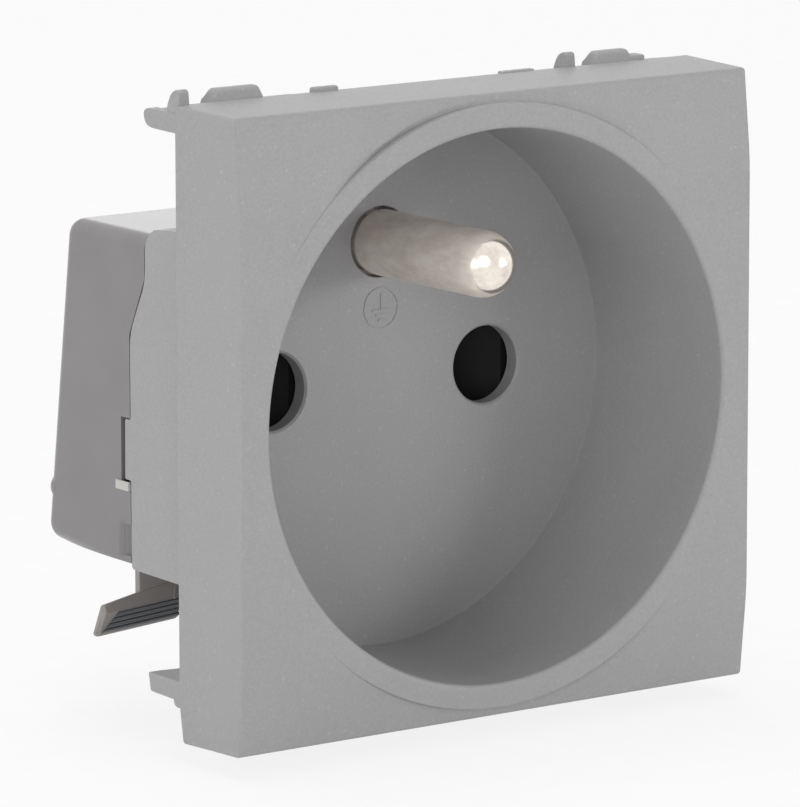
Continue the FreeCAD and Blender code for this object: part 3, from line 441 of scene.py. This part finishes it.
def cover_rings(sizes):
    """The cover's section, from the well's floor over the front and round to the back.
    Each ring is a function from a spoke to its point."""
    corner = in_mm(sizes.corner_round)
    angles = {}
    rings = []
    rim = in_mm(sizes.rim_round)
    mouth = in_mm(sizes.well_radius)
    base = in_mm(sizes.floor_radius)
    collar = in_mm(sizes.collar_radius)
    edge = in_mm(sizes.edge_round)
    roll = in_mm(sizes.roll_radius)

    def angle(spoke):
        if spoke not in angles:
            x, z = on_square(spoke, FRONT_HALF, corner)
            angles[spoke] = math.atan2(z, x)
        return angles[spoke]

    def circle(radius, y):
        """A ring at one depth."""
        rings.append(lambda s: (radius * math.cos(angle(s)), y, radius * math.sin(angle(s))))

    def dropped_circle(radius, most):
        """A ring that follows the roll of the face, but only so far."""
        def place(s):
            x, z = radius * math.cos(angle(s)), radius * math.sin(angle(s))
            return x, FRONT + min(most, fall(z, roll)), z
        rings.append(place)

    def groove(radius):
        """The fine line between the flat collar and the rolled face."""
        def place(s):
            x, z = radius * math.cos(angle(s)), radius * math.sin(angle(s))
            upper_left = max(0.0, math.cos(2 * (angle(s) - LINE_TURN)))
            sunk = LINE_SUNK * max(0.0, math.cos(angle(s) - SUNK_TURN) - 0.9)
            return x, FRONT + fall(z, roll) * (LINE_SHARE + LINE_MORE * upper_left) + sunk, z
        rings.append(place)

    def face(part):
        """The rolled face, from the collar to the plate's edge."""
        def place(s):
            start = collar + FACE_START
            x0, z0 = start * math.cos(angle(s)), start * math.sin(angle(s))
            x1, z1 = on_square(s, (FRONT_HALF[0] - edge, FRONT_HALF[1] - edge), max(corner - edge, 0.05))
            x, z = x0 + (x1 - x0) * part, z0 + (z1 - z0) * part
            return x, FRONT + fall(z, roll), z
        rings.append(place)

    def side(inset, drop, part, follow):
        """The drafted sides, from the front edge to the rear edge."""
        def place(s):
            half = tuple(f + (b - f) * part - inset for f, b in zip(FRONT_HALF, BACK_HALF))
            x, z = on_square(s, half, max(corner - inset, 0.05))
            start = FRONT + (fall(z, roll) if follow else 0.0)
            ahead = REAR_SLOPE * max(0.0, REAR_SLOPE_START - z) if part == 1.0 else 0.0
            return x, start + drop - ahead, z
        rings.append(place)

    def pocket(y_open, y_deep):
        """The hollow behind the plate, round the well's tube."""
        def place(s):
            x, z = on_square(s, (POCKET_HALF, POCKET_HALF), POCKET_CORNER)
            square = math.hypot(x, z)
            radius = max(square, TUBE_RADIUS + 0.05)
            deep = square > TUBE_RADIUS + POCKET_LEAST
            return radius * math.cos(angle(s)), (y_deep if deep else y_open), radius * math.sin(angle(s))
        rings.append(place)

    def pocket_root():
        """Where the hollow ends on the tube."""
        def place(s):
            x, z = on_square(s, (POCKET_HALF, POCKET_HALF), POCKET_CORNER)
            deep = math.hypot(x, z) > TUBE_RADIUS + POCKET_LEAST
            return TUBE_RADIUS * math.cos(angle(s)), (POCKET_FLOOR if deep else 0.02), TUBE_RADIUS * math.sin(angle(s))
        rings.append(place)

    foot = in_mm(sizes.floor_round)
    for radius, y in arc((base - foot, WELL_FLOOR - foot), foot, 90, 0, 6):
        circle(radius, y)
    for radius, y in arc((mouth + rim, FRONT + rim), rim, 180, 270, 6):
        circle(radius, y)
    circle(collar - 0.14, FRONT)
    dropped_circle(collar - 0.045, 0.04)
    dropped_circle(collar - 0.01, 0.12)
    groove(collar + 0.03)
    groove(collar + 0.08)
    for step in range(11):
        face(step / 10)
    for step in range(1, 6):
        turn = math.pi / 2 * step / 5
        side(edge * (1 - math.sin(turn)), edge * (1 - math.cos(turn)), 0.02 * step, True)
    side(0.0, -FRONT * 0.5, 0.5, False)
    side(0.0, -FRONT - 0.2, 1.0, False)
    side(0.06, -FRONT - 0.06, 1.0, False)
    side(0.2, -FRONT, 1.0, False)
    pocket(0.0, 0.0)
    pocket(0.01, POCKET_FLOOR)
    pocket_root()
    circle(TUBE_RADIUS, TUBE_END - 0.3)
    circle(TUBE_RADIUS - 0.09, TUBE_END - 0.09)
    circle(TUBE_RADIUS - 0.3, TUBE_END)
    return rings


def cover_shell(sizes):
    """Grows the cover's one closed skin ring by ring from the floor of the well."""
    lines = spokes(in_mm(sizes.corner_round))
    rings = cover_rings(sizes)
    mesh = bmesh.new()
    number = mesh.verts.layers.int.new("spoke")
    start = bmesh.ops.create_circle(mesh, cap_ends=True, segments=len(lines), radius=1.0)
    for index, vert in enumerate(start["verts"]):
        vert[number] = index
        vert.co = rings[0](lines[index])
    edges = mesh.edges[:]
    for ring in rings[1:]:
        made = bmesh.ops.extrude_edge_only(mesh, edges=edges)["geom"]
        fresh = {part for part in made if isinstance(part, bmesh.types.BMVert)}
        for vert in fresh:
            vert.co = ring(lines[vert[number]])
        edges = [part for part in made if isinstance(part, bmesh.types.BMEdge) and set(part.verts) <= fresh]
    bmesh.ops.edgeloop_fill(mesh, edges=edges)
    bmesh.ops.recalc_face_normals(mesh, faces=mesh.faces[:])
    return mesh


def floor_cutters(sizes):
    """The holes of the line, neutral and earth pins through the floor of the well."""
    radius = in_mm(sizes.hole_radius)
    edge = in_mm(sizes.hole_edge)
    found = []
    for x in PIN_PLACES:
        outline = [(0, WELL_FLOOR - 1), (radius + edge + 1, WELL_FLOOR - 1), (radius, WELL_FLOOR + edge),
                   (radius, TUBE_END + 1), (0, TUBE_END + 1)]
        found.append(turned(outline, x, 0, 72))
    found.append(turned([(0, WELL_FLOOR - 1), (2.62, WELL_FLOOR - 1), (2.62, TUBE_END + 1), (0, TUBE_END + 1)], 0,
                        EARTH_HEIGHT, 64))
    return found


def earth_symbol(x, z):
    """The plain earth symbol, raised a little from the floor of the well."""
    top, root = WELL_FLOOR - SYMBOL_RELIEF, WELL_FLOOR + SYMBOL_ROOT
    ring = turned([(1.42, root), (1.42, top), (1.54, top), (1.54, root), (1.42, root)], x, z, 48)
    strokes = [(0.5, 0.06, 0.6), (-0.15, 0.8, 0.08), (-0.5, 0.5, 0.08), (-0.85, 0.22, 0.08)]
    bars = [block(x - half_x, x + half_x, top, root, z + up - half_z, z + up + half_z)
            for up, half_x, half_z in strokes]
    return [ring] + bars


SKIRT_HALF = 21.15
# Side outline of the skirt: (y, z, corner length), from the plate's back over the top and down.
SKIRT_OUTLINE = [
    (-0.9, 14.6, 0), (0.05, 14.6, 0), (0.06, 13.5, 0.95), (5.8, 13.08, 1.6), (5.8, 9.3, 0.8), (7.8, 5.3, 0.9),
    (7.8, -0.85, 0.2), (8.5, -0.85, 0.15), (8.55, -5.2, 0.15), (7.8, -5.2, 0.2), (7.8, -11.6, 0.3), (-0.9, -11.75, 0),
]


def skirt():
    """Open frame behind the plate, cut clear of the well that it meets."""
    outer = side_prism(SKIRT_OUTLINE, -SKIRT_HALF, SKIRT_HALF)
    inner = block(-19.85, 19.85, -3, FAR, -10.3, 12.0)
    well = turned([(0, -3), (20.4, -3), (20.4, 8.2), (0, 8.2)], 0, 0)
    return combined(outer, [inner, well], "DIFFERENCE")


LUG_CREST = 23.38
LUG_SLANT = 0.32
LUG_SLANT_TOP = 23.0
LUG_SPOTS = ((-17.05, 4.0), (15.8, 3.2))
HORN_SPOTS = (-21.85, 11.6)


def catch_lug(x, width, side):
    """A snap lug that slopes up behind the plate; its left end is slanted and its crest has round ends."""
    half = width / 2
    lug = side_prism([(-0.6, 21.6, 0), (-0.6, 22.3, 0), (-0.1, 22.4, 0), (0.15, LUG_CREST, 0.35),
                      (1.2, LUG_CREST, 0.4), (1.5, 22.55, 0), (1.5, 21.6, 0)], x - half, x + half, 4)

    def crest_end(edge):
        a, b = (vert.co for vert in edge.verts)
        return min(a.z, b.z) > LUG_SLANT_TOP and abs(a.x - b.x) < 0.01

    round_edges(lug, 0.42, 4, crest_end)
    for vert in lug.verts:
        if vert.co.z < 22.7 and vert.co.x < x:
            vert.co.x -= LUG_SLANT * (LUG_SLANT_TOP - vert.co.z)
    if side < 0:
        bmesh.ops.scale(lug, verts=lug.verts[:], vec=(1, 1, -1))
        bmesh.ops.recalc_face_normals(lug, faces=lug.faces[:])
    return lug


def catch_lugs():
    """Two lugs above and two below, at the places that the photograph shows above."""
    return [catch_lug(x, width, side) for side in (1, -1) for x, width in LUG_SPOTS]


def horns():
    """Fins at the rear edge, steep in front and sloped behind."""
    fins = []
    for x in HORN_SPOTS:
        fin = side_prism([(-0.3, 20.6, 0), (-0.3, 23.6, 0.3), (0.75, 23.6, 0.8), (1.15, 22.2, 0.3), (1.2, 20.6, 0)],
                         x - 0.45, x + 0.45, 5)
        round_edges(fin, 0.14, 2, lambda e: min(v.co.z for v in e.verts) > 22.6 and
                    abs(e.verts[0].co.x - e.verts[1].co.x) < 0.01)
        fins.append(fin)
    return fins


def fingers():
    """Flat fingers that reach back from the side walls; their inner sides rise into the plate, and the lower
    ones have a small foot."""
    shapes = []
    for side in (-1, 1):
        x0, x1 = sorted((side * 22.35, side * 21.35))
        for top, bottom, tip, below, rise, reach in ((21.95, 20.55, 0.5, 0.85, 0.55, 4.05),
                                                     (-18.2, -19.62, 0.12, 0.1, 0.95, 3.8)):
            outline = [(-1, bottom, 0), (reach, bottom + 0.1, below), (4.05, top, tip), (0, top, 0), (-1, top, 0)]
            shape = side_prism(outline, x0, x1, 5)
            for vert in shape.verts:
                if abs(vert.co.x) < 21.5 and vert.co.z > top - 0.01 and vert.co.y < 0.1:
                    vert.co.z += rise
            round_edges(shape, 0.1, 2, lambda e: abs(e.verts[0].co.x - e.verts[1].co.x) < 0.01 and
                        min(v.co.y for v in e.verts) > 0.1)
            shapes.append(shape)
        shapes.append(block(x0 + 0.02, x1 - 0.02, -0.5, 0.85, -20.1, -19.2, 0.45, 4, lambda e: abs(
            e.verts[0].co.x - e.verts[1].co.x) > 0.5 and e.verts[0].co.y > 0.8 and e.verts[0].co.z < -20.0))
    return shapes


def rear_steps():
    """Short ledge beside the left lug, and three low ribs along the top edge that centre the module."""
    return [block(-15.0, -12.0, -0.15, 1.0, 20.75, 22.4, 0.12), block(-11.0, -8.8, -0.4, 0.25, 22.2, 22.88, 0.2),
            block(5.5, 8.4, -0.3, 0.3, 22.2, 22.68, 0.12), block(17.3, 18.6, -0.1, 1.2, 22.0, 22.9, 0.2)]


class MESH_OT_socket_cover(Operator):
    """Build the front cover: plate, collar, well, skirt, lugs, horns and fingers"""
    bl_idname = "mesh.socket_cover"
    bl_label = "Front cover"

    def execute(self, context):
        sizes = context.scene.socket_cover
        shell = combined(cover_shell(sizes), floor_cutters(sizes), "DIFFERENCE")
        whole = joined(shell, skirt(), *catch_lugs(), *horns(), *fingers(), *rear_steps(),
                       *earth_symbol(SYMBOL_X, SYMBOL_Z))
        piece(whole, "cover", flake_plastic(context.scene.socket_finishes.cover), "housing",
              ["front_cover"])
        return {"FINISHED"}


# Rear cap

CAP_TOP = 12.6
CAP_BOTTOM = -11.2
# Side outline of the cap's front edge: (y, z), from the bottom up.
CAP_FRONT = [(7.89, CAP_BOTTOM), (7.89, -5.35), (9.05, -5.35), (9.05, -0.75), (7.89, -0.75), (7.89, 5.3), (5.89, 9.5),
             (5.89, CAP_TOP)]
LEVER_PLACES = (-16.6, 0.0, 16.6)
WIRE_HEIGHT = -6.85
NUB_HEIGHT = -7.35
TOWER_END = 27.0


def cap_rear(z):
    """The cap's rear face leans back towards the bottom."""
    return 17.8 - 0.1355 * z


def cap_shell(sizes):
    """The cap's outside, rounded along its rear face and its upper side edges."""
    outline = [(y, z, 0) for y, z in CAP_FRONT]
    outline += [(cap_rear(CAP_TOP), CAP_TOP, in_mm(sizes.rear_round)),
                (cap_rear(CAP_BOTTOM), CAP_BOTTOM, in_mm(sizes.foot_round))]
    outer = side_prism(outline, -SKIRT_HALF, SKIRT_HALF, 8)

    def rear_outline(edge):
        ends = edge.verts
        on_side = abs(abs(ends[0].co.x) - SKIRT_HALF) < 0.01 and abs(ends[0].co.x - ends[1].co.x) < 0.01
        return on_side and min(v.co.y for v in ends) > 10.0 or on_side and edge.calc_length() > 5 and \
            min(v.co.z for v in ends) > 12.5

    edges = [e for e in outer.edges if rear_outline(e)]
    bmesh.ops.bevel(outer, geom=edges, offset=in_mm(sizes.rear_round), offset_type="OFFSET", segments=6, profile=0.5,
                    affect="EDGES", material=-1)
    return outer


def cap_cutters(sizes):
    """The cap's inside, the room of the well, the towers' pockets, wire holes, lever slots and side windows."""
    wall = in_mm(sizes.wall)
    inner = side_prism([(0, -9.9, 0), (cap_rear(-9.9) - wall, -9.9, 0.4), (cap_rear(11.5) - wall, 11.5, 0.6),
                        (0, 11.5, 0)], -19.85, 19.85)
    cutters = [inner, turned([(0, 0), (TUBE_RADIUS + 0.15, 0), (TUBE_RADIUS + 0.15, 8.45), (0, 8.45)], 0, 0)]
    for x in PIN_PLACES:
        cutters.append(turned([(0, 14), (3.55, 14), (3.55, 26.2), (0, 26.2)], x, 0, 64))
    for middle in LEVER_PLACES:
        cutters.append(block(middle - 0.85, middle + 0.85, 11.7, 14.0, -12, -9.5))
        for x in (middle - 1.75, middle + 1.75):
            rear = cap_rear(WIRE_HEIGHT)
            cutters.append(turned([(0, rear - 3), (1.15, rear - 3), (1.15, rear - 0.4), (1.7, rear + 0.15),
                                   (1.7, rear + 1), (0, rear + 1)], x, WIRE_HEIGHT, 48))
    cutters.append(side_prism([(7.0, -5.62, 0), (8.84, -5.42, 0), (9.38, -5.42, 0.15), (9.71, -5.7, 0.15),
                               (9.5, -5.93, 0.1), (8.85, -5.95, 0), (7.0, -6.1, 0)], -22, -19))
    for side in (-1, 1):
        x0, x1 = sorted((side * 20.3, side * 22.0))
        cutters.append(block(x0, x1, 7.0, 8.7, -10.7, -8.45))
    return cutters


def cap_towers():
    """Round towers that hold the ends of the contacts."""
    shapes = []
    for x in PIN_PLACES:
        outline = [(0, 15.0), (4.4, 15.0)] + arc((3.6, TOWER_END - 0.8), 0.8, 0, 90, 5) + [(0, TOWER_END)]
        shapes.append(turned(outline, x, 0, 72))
    return shapes


def cap_details():
    """Snap nibs by the seam, locating nubs at the rear corners and the cradles of the lever axles."""
    shapes = []
    for side in (-1, 1):
        x0, x1 = sorted((side * 20.35, side * 21.45))
        nib = block(x0, x1, 7.95, 9.05, -10.8, -8.35)
        for vert in nib.verts:
            if vert.co.y < 8.1 and abs(vert.co.x) > 21.2:
                vert.co.x -= side * 1.0
        round_edges(nib, 0.1, 3)
        shapes.append(nib)
        nub = bmesh.new()
        bmesh.ops.create_uvsphere(nub, u_segments=24, v_segments=14, radius=1.15)
        bmesh.ops.translate(nub, verts=nub.verts[:], vec=(side * 20.05, cap_rear(NUB_HEIGHT) - 0.85, NUB_HEIGHT))
        shapes.append(nub)
        for middle in LEVER_PLACES:
            c0, c1 = sorted((middle + side * 2.75, middle + side * 3.4))
            cheek = block(c0, c1, 11.4, 13.8, -10.4, -8.55)
            shapes.append(combined(cheek, [block(c0 - 1, c1 + 1, 12.05, 13.15, -9.7, -5)], "DIFFERENCE"))
    return shapes


class MESH_OT_socket_cap(Operator):
    """Build the rear cap with its contact towers, wire holes and lever slots"""
    bl_idname = "mesh.socket_cap"
    bl_label = "Rear cap"

    def execute(self, context):
        sizes = context.scene.socket_cap
        solid = combined(cap_shell(sizes), cap_towers(), "UNION")
        solid = combined(solid, cap_cutters(sizes), "DIFFERENCE")
        whole = joined(solid, *cap_details())
        material = plain_plastic("Moulded polycarbonate, grey", context.scene.socket_finishes.cap, 0.21, 0.10, 0.04)
        piece(whole, "cap", material, "housing", ["rear_cap"])
        return {"FINISHED"}


# Earth pin


class MESH_OT_socket_earth_pin(Operator):
    """Build the turned earth pin with its domed end and neck"""
    bl_idname = "mesh.socket_earth_pin"
    bl_label = "Earth pin"

    def execute(self, context):
        tip = FRONT
        outline = [(0.0, tip)] + arc((0.0, tip + 2.4), 2.4, -88, 0, 22)
        outline += [(2.4, 6.82), (2.34, 6.9), (2.2, 6.9), (2.2, 8.45), (0.9, 8.45), (0.9, 14.55), (1.3, 14.55),
                    (1.3, 14.75), (1.1, 14.95), (0.0, 14.95)]
        material = plated_pin(context.scene.socket_finishes.nickel)
        piece(turned(outline, 0, EARTH_HEIGHT, 96), "earth_pin_turned", material, "housing",
              ["earth_pin"])
        return {"FINISHED"}


# Release levers

PIVOT = (12.6, -9.15)
PAD_OUTER = 4.4
PAD_BOTTOM = -17.48
PAD_SLANT = 0.45
PAD_RISE = 0.75
PAD_TILT = 0.067
GRIP_SLANT = 1.25


def lever(middle, side):
    """A lever: axle, arm with its wedge, stem, and the tilted pad, whose top rises from its outer end."""
    outward = side if side else 1
    stem_out, stem_in, pad_out, pad_in = (0.83, 2.5, PAD_OUTER, 2.65) if side else (1.9, 1.9, 3.35, 3.35)
    axle = turned([(0, -3.2), (0.4, -3.2), (0.5, -3.1), (0.5, 3.1), (0.4, 3.2), (0, 3.2)], 0, 0, 32)
    bmesh.ops.rotate(axle, verts=axle.verts[:], cent=(0, 0, 0), matrix=Matrix.Rotation(-math.pi / 2, 3, "Z"))
    bmesh.ops.translate(axle, verts=axle.verts[:], vec=(middle, *PIVOT))
    arm = side_prism([(12.0, -12.6, 0), (13.2, -12.6, 0), (13.2, -9.15, 0.3), (13.25, -6.63, 0.3),
                      (12.55, -6.63, 0.3), (12.0, -9.15, 0.3)], middle - 0.55, middle + 0.55, 4)
    n0, n1 = sorted((middle + outward * stem_out, middle - outward * stem_in))
    stem = block(n0, n1, 12.5, 13.1, -15.6, -11.6, 0.1, 3)
    x0, x1 = sorted((middle + outward * pad_out, middle - outward * pad_in))
    pad = side_prism([(12.12, -15.68, 0.08), (12.72, PAD_BOTTOM, 0.25), (13.4, PAD_BOTTOM, 0.3), (12.95, -15.25, 0.15),
                      (12.5, -15.16, 0.1)], x0, x1, 4)
    for vert in pad.verts:
        if side and vert.co.z > -16.6 and abs(vert.co.x - (middle + outward * pad_out)) < 0.01:
            vert.co.x -= outward * PAD_SLANT * (vert.co.z - PAD_BOTTOM) / 2.3
        if vert.co.z > -15.6:
            vert.co.z += PAD_RISE * abs(vert.co.x - (middle + outward * pad_out)) / (pad_out + pad_in) if side else 0.3
        if side:
            vert.co.z += PAD_TILT * abs(vert.co.x - (middle + outward * pad_out))
    round_edges(pad, 0.25, 4, lambda e: abs(e.verts[0].co.x - e.verts[1].co.x) < 0.5)
    shapes = [arm, axle, stem, pad]
    if side:
        # A fine slanted rib on the front of the stem.
        seam = middle - outward * 1.9
        line = side_prism([(12.0, -15.32, 0), (12.42, -14.0, 0), (12.62, -14.0, 0), (12.3, -15.32, 0)],
                          seam - 0.06, seam + 0.06)
        for vert in line.verts:
            if vert.co.z > -14.5:
                vert.co.x -= outward * 0.4
        shapes.append(line)
    return joined(*shapes)


def lever_grip(middle, side):
    """The ridged face of a lever's pad, whose outer end is cut on a slant."""
    outward = side if side else 1
    outer, inner = (4.1, 2.6) if side else (3.1, 3.1)
    top, bottom, ridges = -15.76, -17.3, 4
    step = (top - bottom) / ridges
    lean = 1 / 3
    outline = []
    for number in range(ridges):
        z = top - number * step
        front = 12.15 + lean * (top - z)
        outline += [(front + 0.04, z, 0.02), (front - 0.16, z - step * 0.12, 0.05),
                    (front - 0.12 + lean * step * 0.6, z - step * 0.62, 0.05),
                    (front + 0.05 + lean * step * 0.8, z - step * 0.8, 0.02)]
    outline += [(12.15 + lean * (top - bottom) + 0.05, bottom, 0), (12.9, bottom, 0), (12.5, top, 0)]
    x0, x1 = sorted((middle + outward * outer, middle - outward * inner))
    grip = side_prism(outline, x0, x1, 3)
    for vert in grip.verts:
        if abs(vert.co.x - (middle + outward * outer)) < 0.01:
            vert.co.x -= outward * GRIP_SLANT * (vert.co.z - bottom) / (top - bottom)
        if side:
            vert.co.z += PAD_TILT * abs(vert.co.x - (middle + outward * PAD_OUTER))
    return grip


class MESH_OT_socket_levers(Operator):
    """Build the three release levers"""
    bl_idname = "mesh.socket_levers"
    bl_label = "Release levers"

    def execute(self, context):
        finishes = context.scene.socket_finishes
        body = plain_plastic("Moulded polyamide, warm grey", finishes.lever, 0.45, 0.08, 0.2, 0.08)
        # The ridged pads take a darker blue-grey: their own tint, darkened further as painted shade for faces that
        # look down.
        ridged = plain_plastic("Moulded polyamide, blue-grey, painted shade", finishes.grip, 0.4, 0.08, 0.2, 0.08)
        for name, middle, side in zip(("line", "earth", "neutral"), LEVER_PLACES, (-1, 0, 1)):
            piece(lever(middle, side), name + "_lever_moulded", body, name + "_lever",
                  [name + "_release_lever"])
            piece(lever_grip(middle, side), name + "_lever_grip", ridged, name + "_lever")
        return {"FINISHED"}


# Pieces inside


class MESH_OT_socket_inside(Operator):
    """Give the carrier, shutter, contacts, clamps and springs their materials"""
    bl_idname = "mesh.socket_inside"
    bl_label = "Inner pieces"

    def execute(self, context):
        finishes = context.scene.socket_finishes
        by_slot = {
            "carrier_plastic": plain_plastic("Moulded polyester, off-white", finishes.carrier, 0.5, 0.09, 0.15),
            # The shutter's near-black is its own colour and also painted shade for the deep hole that it sits in.
            "shutter_plastic": plain_plastic("Moulded acetal, black, painted shade", finishes.shutter, 0.55, 0.09, 0.1, 0.1, 0.15),
            "contact_brass": metal("Stamped brass", finishes.brass, 0.3, 0.25, (1.0, 0.2, 1.0), 0.06, 0.1),
            "spring_steel": metal("Spring steel", finishes.steel, 0.28, 0.15, (0.2, 1.0, 1.0), 0.05, 0.08),
        }
        slots = {entry["node"]: entry["material_slot"] for entry in frame["record"]["subparts"]}
        for node, made in frame["nodes"].items():
            material = by_slot.get(slots[node])
            if material:
                made.data.materials.clear()
                made.data.materials.append(material)
        return {"FINISHED"}


# Stage

CAMERA_AZIMUTH = math.radians(-35.82)
CAMERA_ELEVATION = math.radians(10.52)
CAMERA_ROLL = math.radians(-0.106)
CAMERA_OFFSET = (7.203, -0.326, 463.84)
CAMERA_LENS = 295.87
FLOOR_HEIGHT = -24.0
FLOOR_GLOW = 0.85
WORLD_LIGHT = 0.38
# Lamps: name, place and size in metres, watts.
LAMPS = (
    ("Overhead", (0.0, 0.15, 0.9), 0.6, 3.2),
    ("Front right", (0.62, -0.75, 0.06), 0.4, 2.25),
    ("Left", (-0.85, -0.4, 0.08), 0.5, 2.3),
    ("Left rear", (-0.8, 0.25, 0.25), 0.5, 0.7),
    ("Rear", (0.58, 0.8, 0.2), 0.6, 0.5),
    ("Front left", (-0.5, -0.85, 0.3), 0.8, 0.9),
)


def make_camera(scene):
    """A long lens at the photograph's viewing angle, for an image of 800 by 807."""
    sin_a, cos_a = math.sin(CAMERA_AZIMUTH), math.cos(CAMERA_AZIMUTH)
    sin_e, cos_e = math.sin(CAMERA_ELEVATION), math.cos(CAMERA_ELEVATION)
    back = Vector((sin_a * cos_e, -cos_a * cos_e, sin_e))
    level = Vector((cos_a, sin_a, 0))
    rise = level.cross(back) * -1.0
    right = level * math.cos(CAMERA_ROLL) + rise * math.sin(CAMERA_ROLL)
    up = rise * math.cos(CAMERA_ROLL) - level * math.sin(CAMERA_ROLL)
    across, above, away = CAMERA_OFFSET
    place = back * away - right * across - up * above + Vector((0, FRONT, 0))
    data = bpy.data.cameras.new("Camera")
    data.sensor_fit = "HORIZONTAL"
    data.sensor_width = 36.0
    data.lens = CAMERA_LENS
    data.clip_start = 0.01
    data.clip_end = 20.0
    made = bpy.data.objects.new("Camera", data)
    scene.collection.objects.link(made)
    axes = Matrix((right, up, back)).transposed()
    made.matrix_world = Matrix.Translation(place * MM) @ axes.to_4x4()
    scene.camera = made


def make_light(scene, name, place, size, watts):
    """A round soft lamp that looks at the object."""
    data = bpy.data.lights.new(name, "AREA")
    data.shape = "DISK"
    data.size = size
    data.energy = watts
    made = bpy.data.objects.new(name, data)
    scene.collection.objects.link(made)
    made.location = place
    made.rotation_mode = "QUATERNION"
    made.rotation_quaternion = (-Vector(place)).to_track_quat("-Z", "Y")


def make_floor(base):
    """A wide pale floor just under the lowest lug, which keeps the object's shadow."""
    mesh = bmesh.new()
    bmesh.ops.create_grid(mesh, x_segments=2, y_segments=2, size=3000)
    bmesh.ops.translate(mesh, verts=mesh.verts[:], vec=(0, 0, FLOOR_HEIGHT))
    made = as_object(mesh, "floor")
    made.data.transform(Matrix.Scale(MM, 4))
    material, tree = new_material("Matt paper")
    path = add(tree, "ShaderNodeLightPath")
    grain = add(tree, "ShaderNodeTexNoise", {"Vector": add(tree, "ShaderNodeTexCoord").outputs["Object"],
                                             "Scale": grains_per_metre(3.0)})
    tone = add(tree, "ShaderNodeValToRGB", {"Fac": grain.outputs["Fac"]}, shades(base, 0.01)).outputs["Color"]
    paper = add(tree, "ShaderNodeBsdfDiffuse", {"Color": tone})
    glow = add(tree, "ShaderNodeEmission", {"Color": tone, "Strength": 1.0})
    seen = add(tree, "ShaderNodeMath", {0: path.outputs["Is Camera Ray"], 1: path.outputs["Is Glossy Ray"]},
               operation="MAXIMUM")
    share = add(tree, "ShaderNodeMath", {0: seen.outputs[0], 1: FLOOR_GLOW}, operation="MULTIPLY")
    mixed = add(tree, "ShaderNodeMixShader", {0: share.outputs[0], 1: paper.outputs[0], 2: glow.outputs[0]})
    add(tree, "ShaderNodeOutputMaterial", {"Surface": mixed.outputs[0]})
    made.data.materials.append(material)


def make_world(scene, strength):
    """An even soft surround that the camera and the metal see as white."""
    world = bpy.data.worlds.new("Soft surround")
    world.use_nodes = True
    tree = world.node_tree
    tree.nodes.clear()
    path = add(tree, "ShaderNodeLightPath")
    direct = add(tree, "ShaderNodeMath", {0: path.outputs["Is Camera Ray"], 1: path.outputs["Is Glossy Ray"]},
                 operation="MAXIMUM")
    seen = add(tree, "ShaderNodeBackground", {"Color": (1, 1, 1, 1), "Strength": 1.0})
    lit = add(tree, "ShaderNodeBackground", {"Color": (1, 1, 1, 1), "Strength": strength})
    mixed = add(tree, "ShaderNodeMixShader", {0: direct.outputs[0], 1: lit.outputs[0], 2: seen.outputs[0]})
    add(tree, "ShaderNodeOutputWorld", {"Surface": mixed.outputs[0]})
    scene.world = world


class SCENE_OT_socket_stage(Operator):
    """Set the camera, the soft lights and the pale floor"""
    bl_idname = "scene.socket_stage"
    bl_label = "Stage"

    def execute(self, context):
        scene = context.scene
        make_camera(scene)
        make_world(scene, WORLD_LIGHT)
        make_floor(scene.socket_finishes.floor)
        for lamp in LAMPS:
            make_light(scene, *lamp)
        scene.view_settings.view_transform = "Standard"
        return {"FINISHED"}


class VIEW3D_PT_socket(Panel):
    """Sizes, colours and pieces of the wall socket"""
    bl_label = "Wall socket"
    bl_idname = "VIEW3D_PT_socket"
    bl_space_type = "VIEW_3D"
    bl_region_type = "UI"
    bl_category = "Wall socket"

    def draw(self, context):
        layout = self.layout
        for group in (context.scene.socket_cover, context.scene.socket_cap, context.scene.socket_finishes):
            box = layout.box()
            for name in group.__annotations__:
                box.prop(group, name)
        for operator in OPERATORS:
            layout.operator(operator.bl_idname)


OPERATORS = (MESH_OT_socket_cover, MESH_OT_socket_cap, MESH_OT_socket_earth_pin, MESH_OT_socket_levers,
             MESH_OT_socket_inside, SCENE_OT_socket_stage)
CLASSES = (CoverSizes, CapSizes, Finishes) + OPERATORS + (VIEW3D_PT_socket,)


def register():
    for cls in CLASSES:
        bpy.utils.register_class(cls)
    bpy.types.Scene.socket_cover = PointerProperty(type=CoverSizes)
    bpy.types.Scene.socket_cap = PointerProperty(type=CapSizes)
    bpy.types.Scene.socket_finishes = PointerProperty(type=Finishes)


def unregister():
    del bpy.types.Scene.socket_finishes
    del bpy.types.Scene.socket_cap
    del bpy.types.Scene.socket_cover
    for cls in reversed(CLASSES):
        bpy.utils.unregister_class(cls)


def main():
    register()
    bpy.ops.mesh.socket_cover()
    bpy.ops.mesh.socket_cap()
    bpy.ops.mesh.socket_earth_pin()
    bpy.ops.mesh.socket_levers()
    bpy.ops.mesh.socket_inside()
    bpy.ops.scene.socket_stage()


if __name__ == "__main__":
    main()
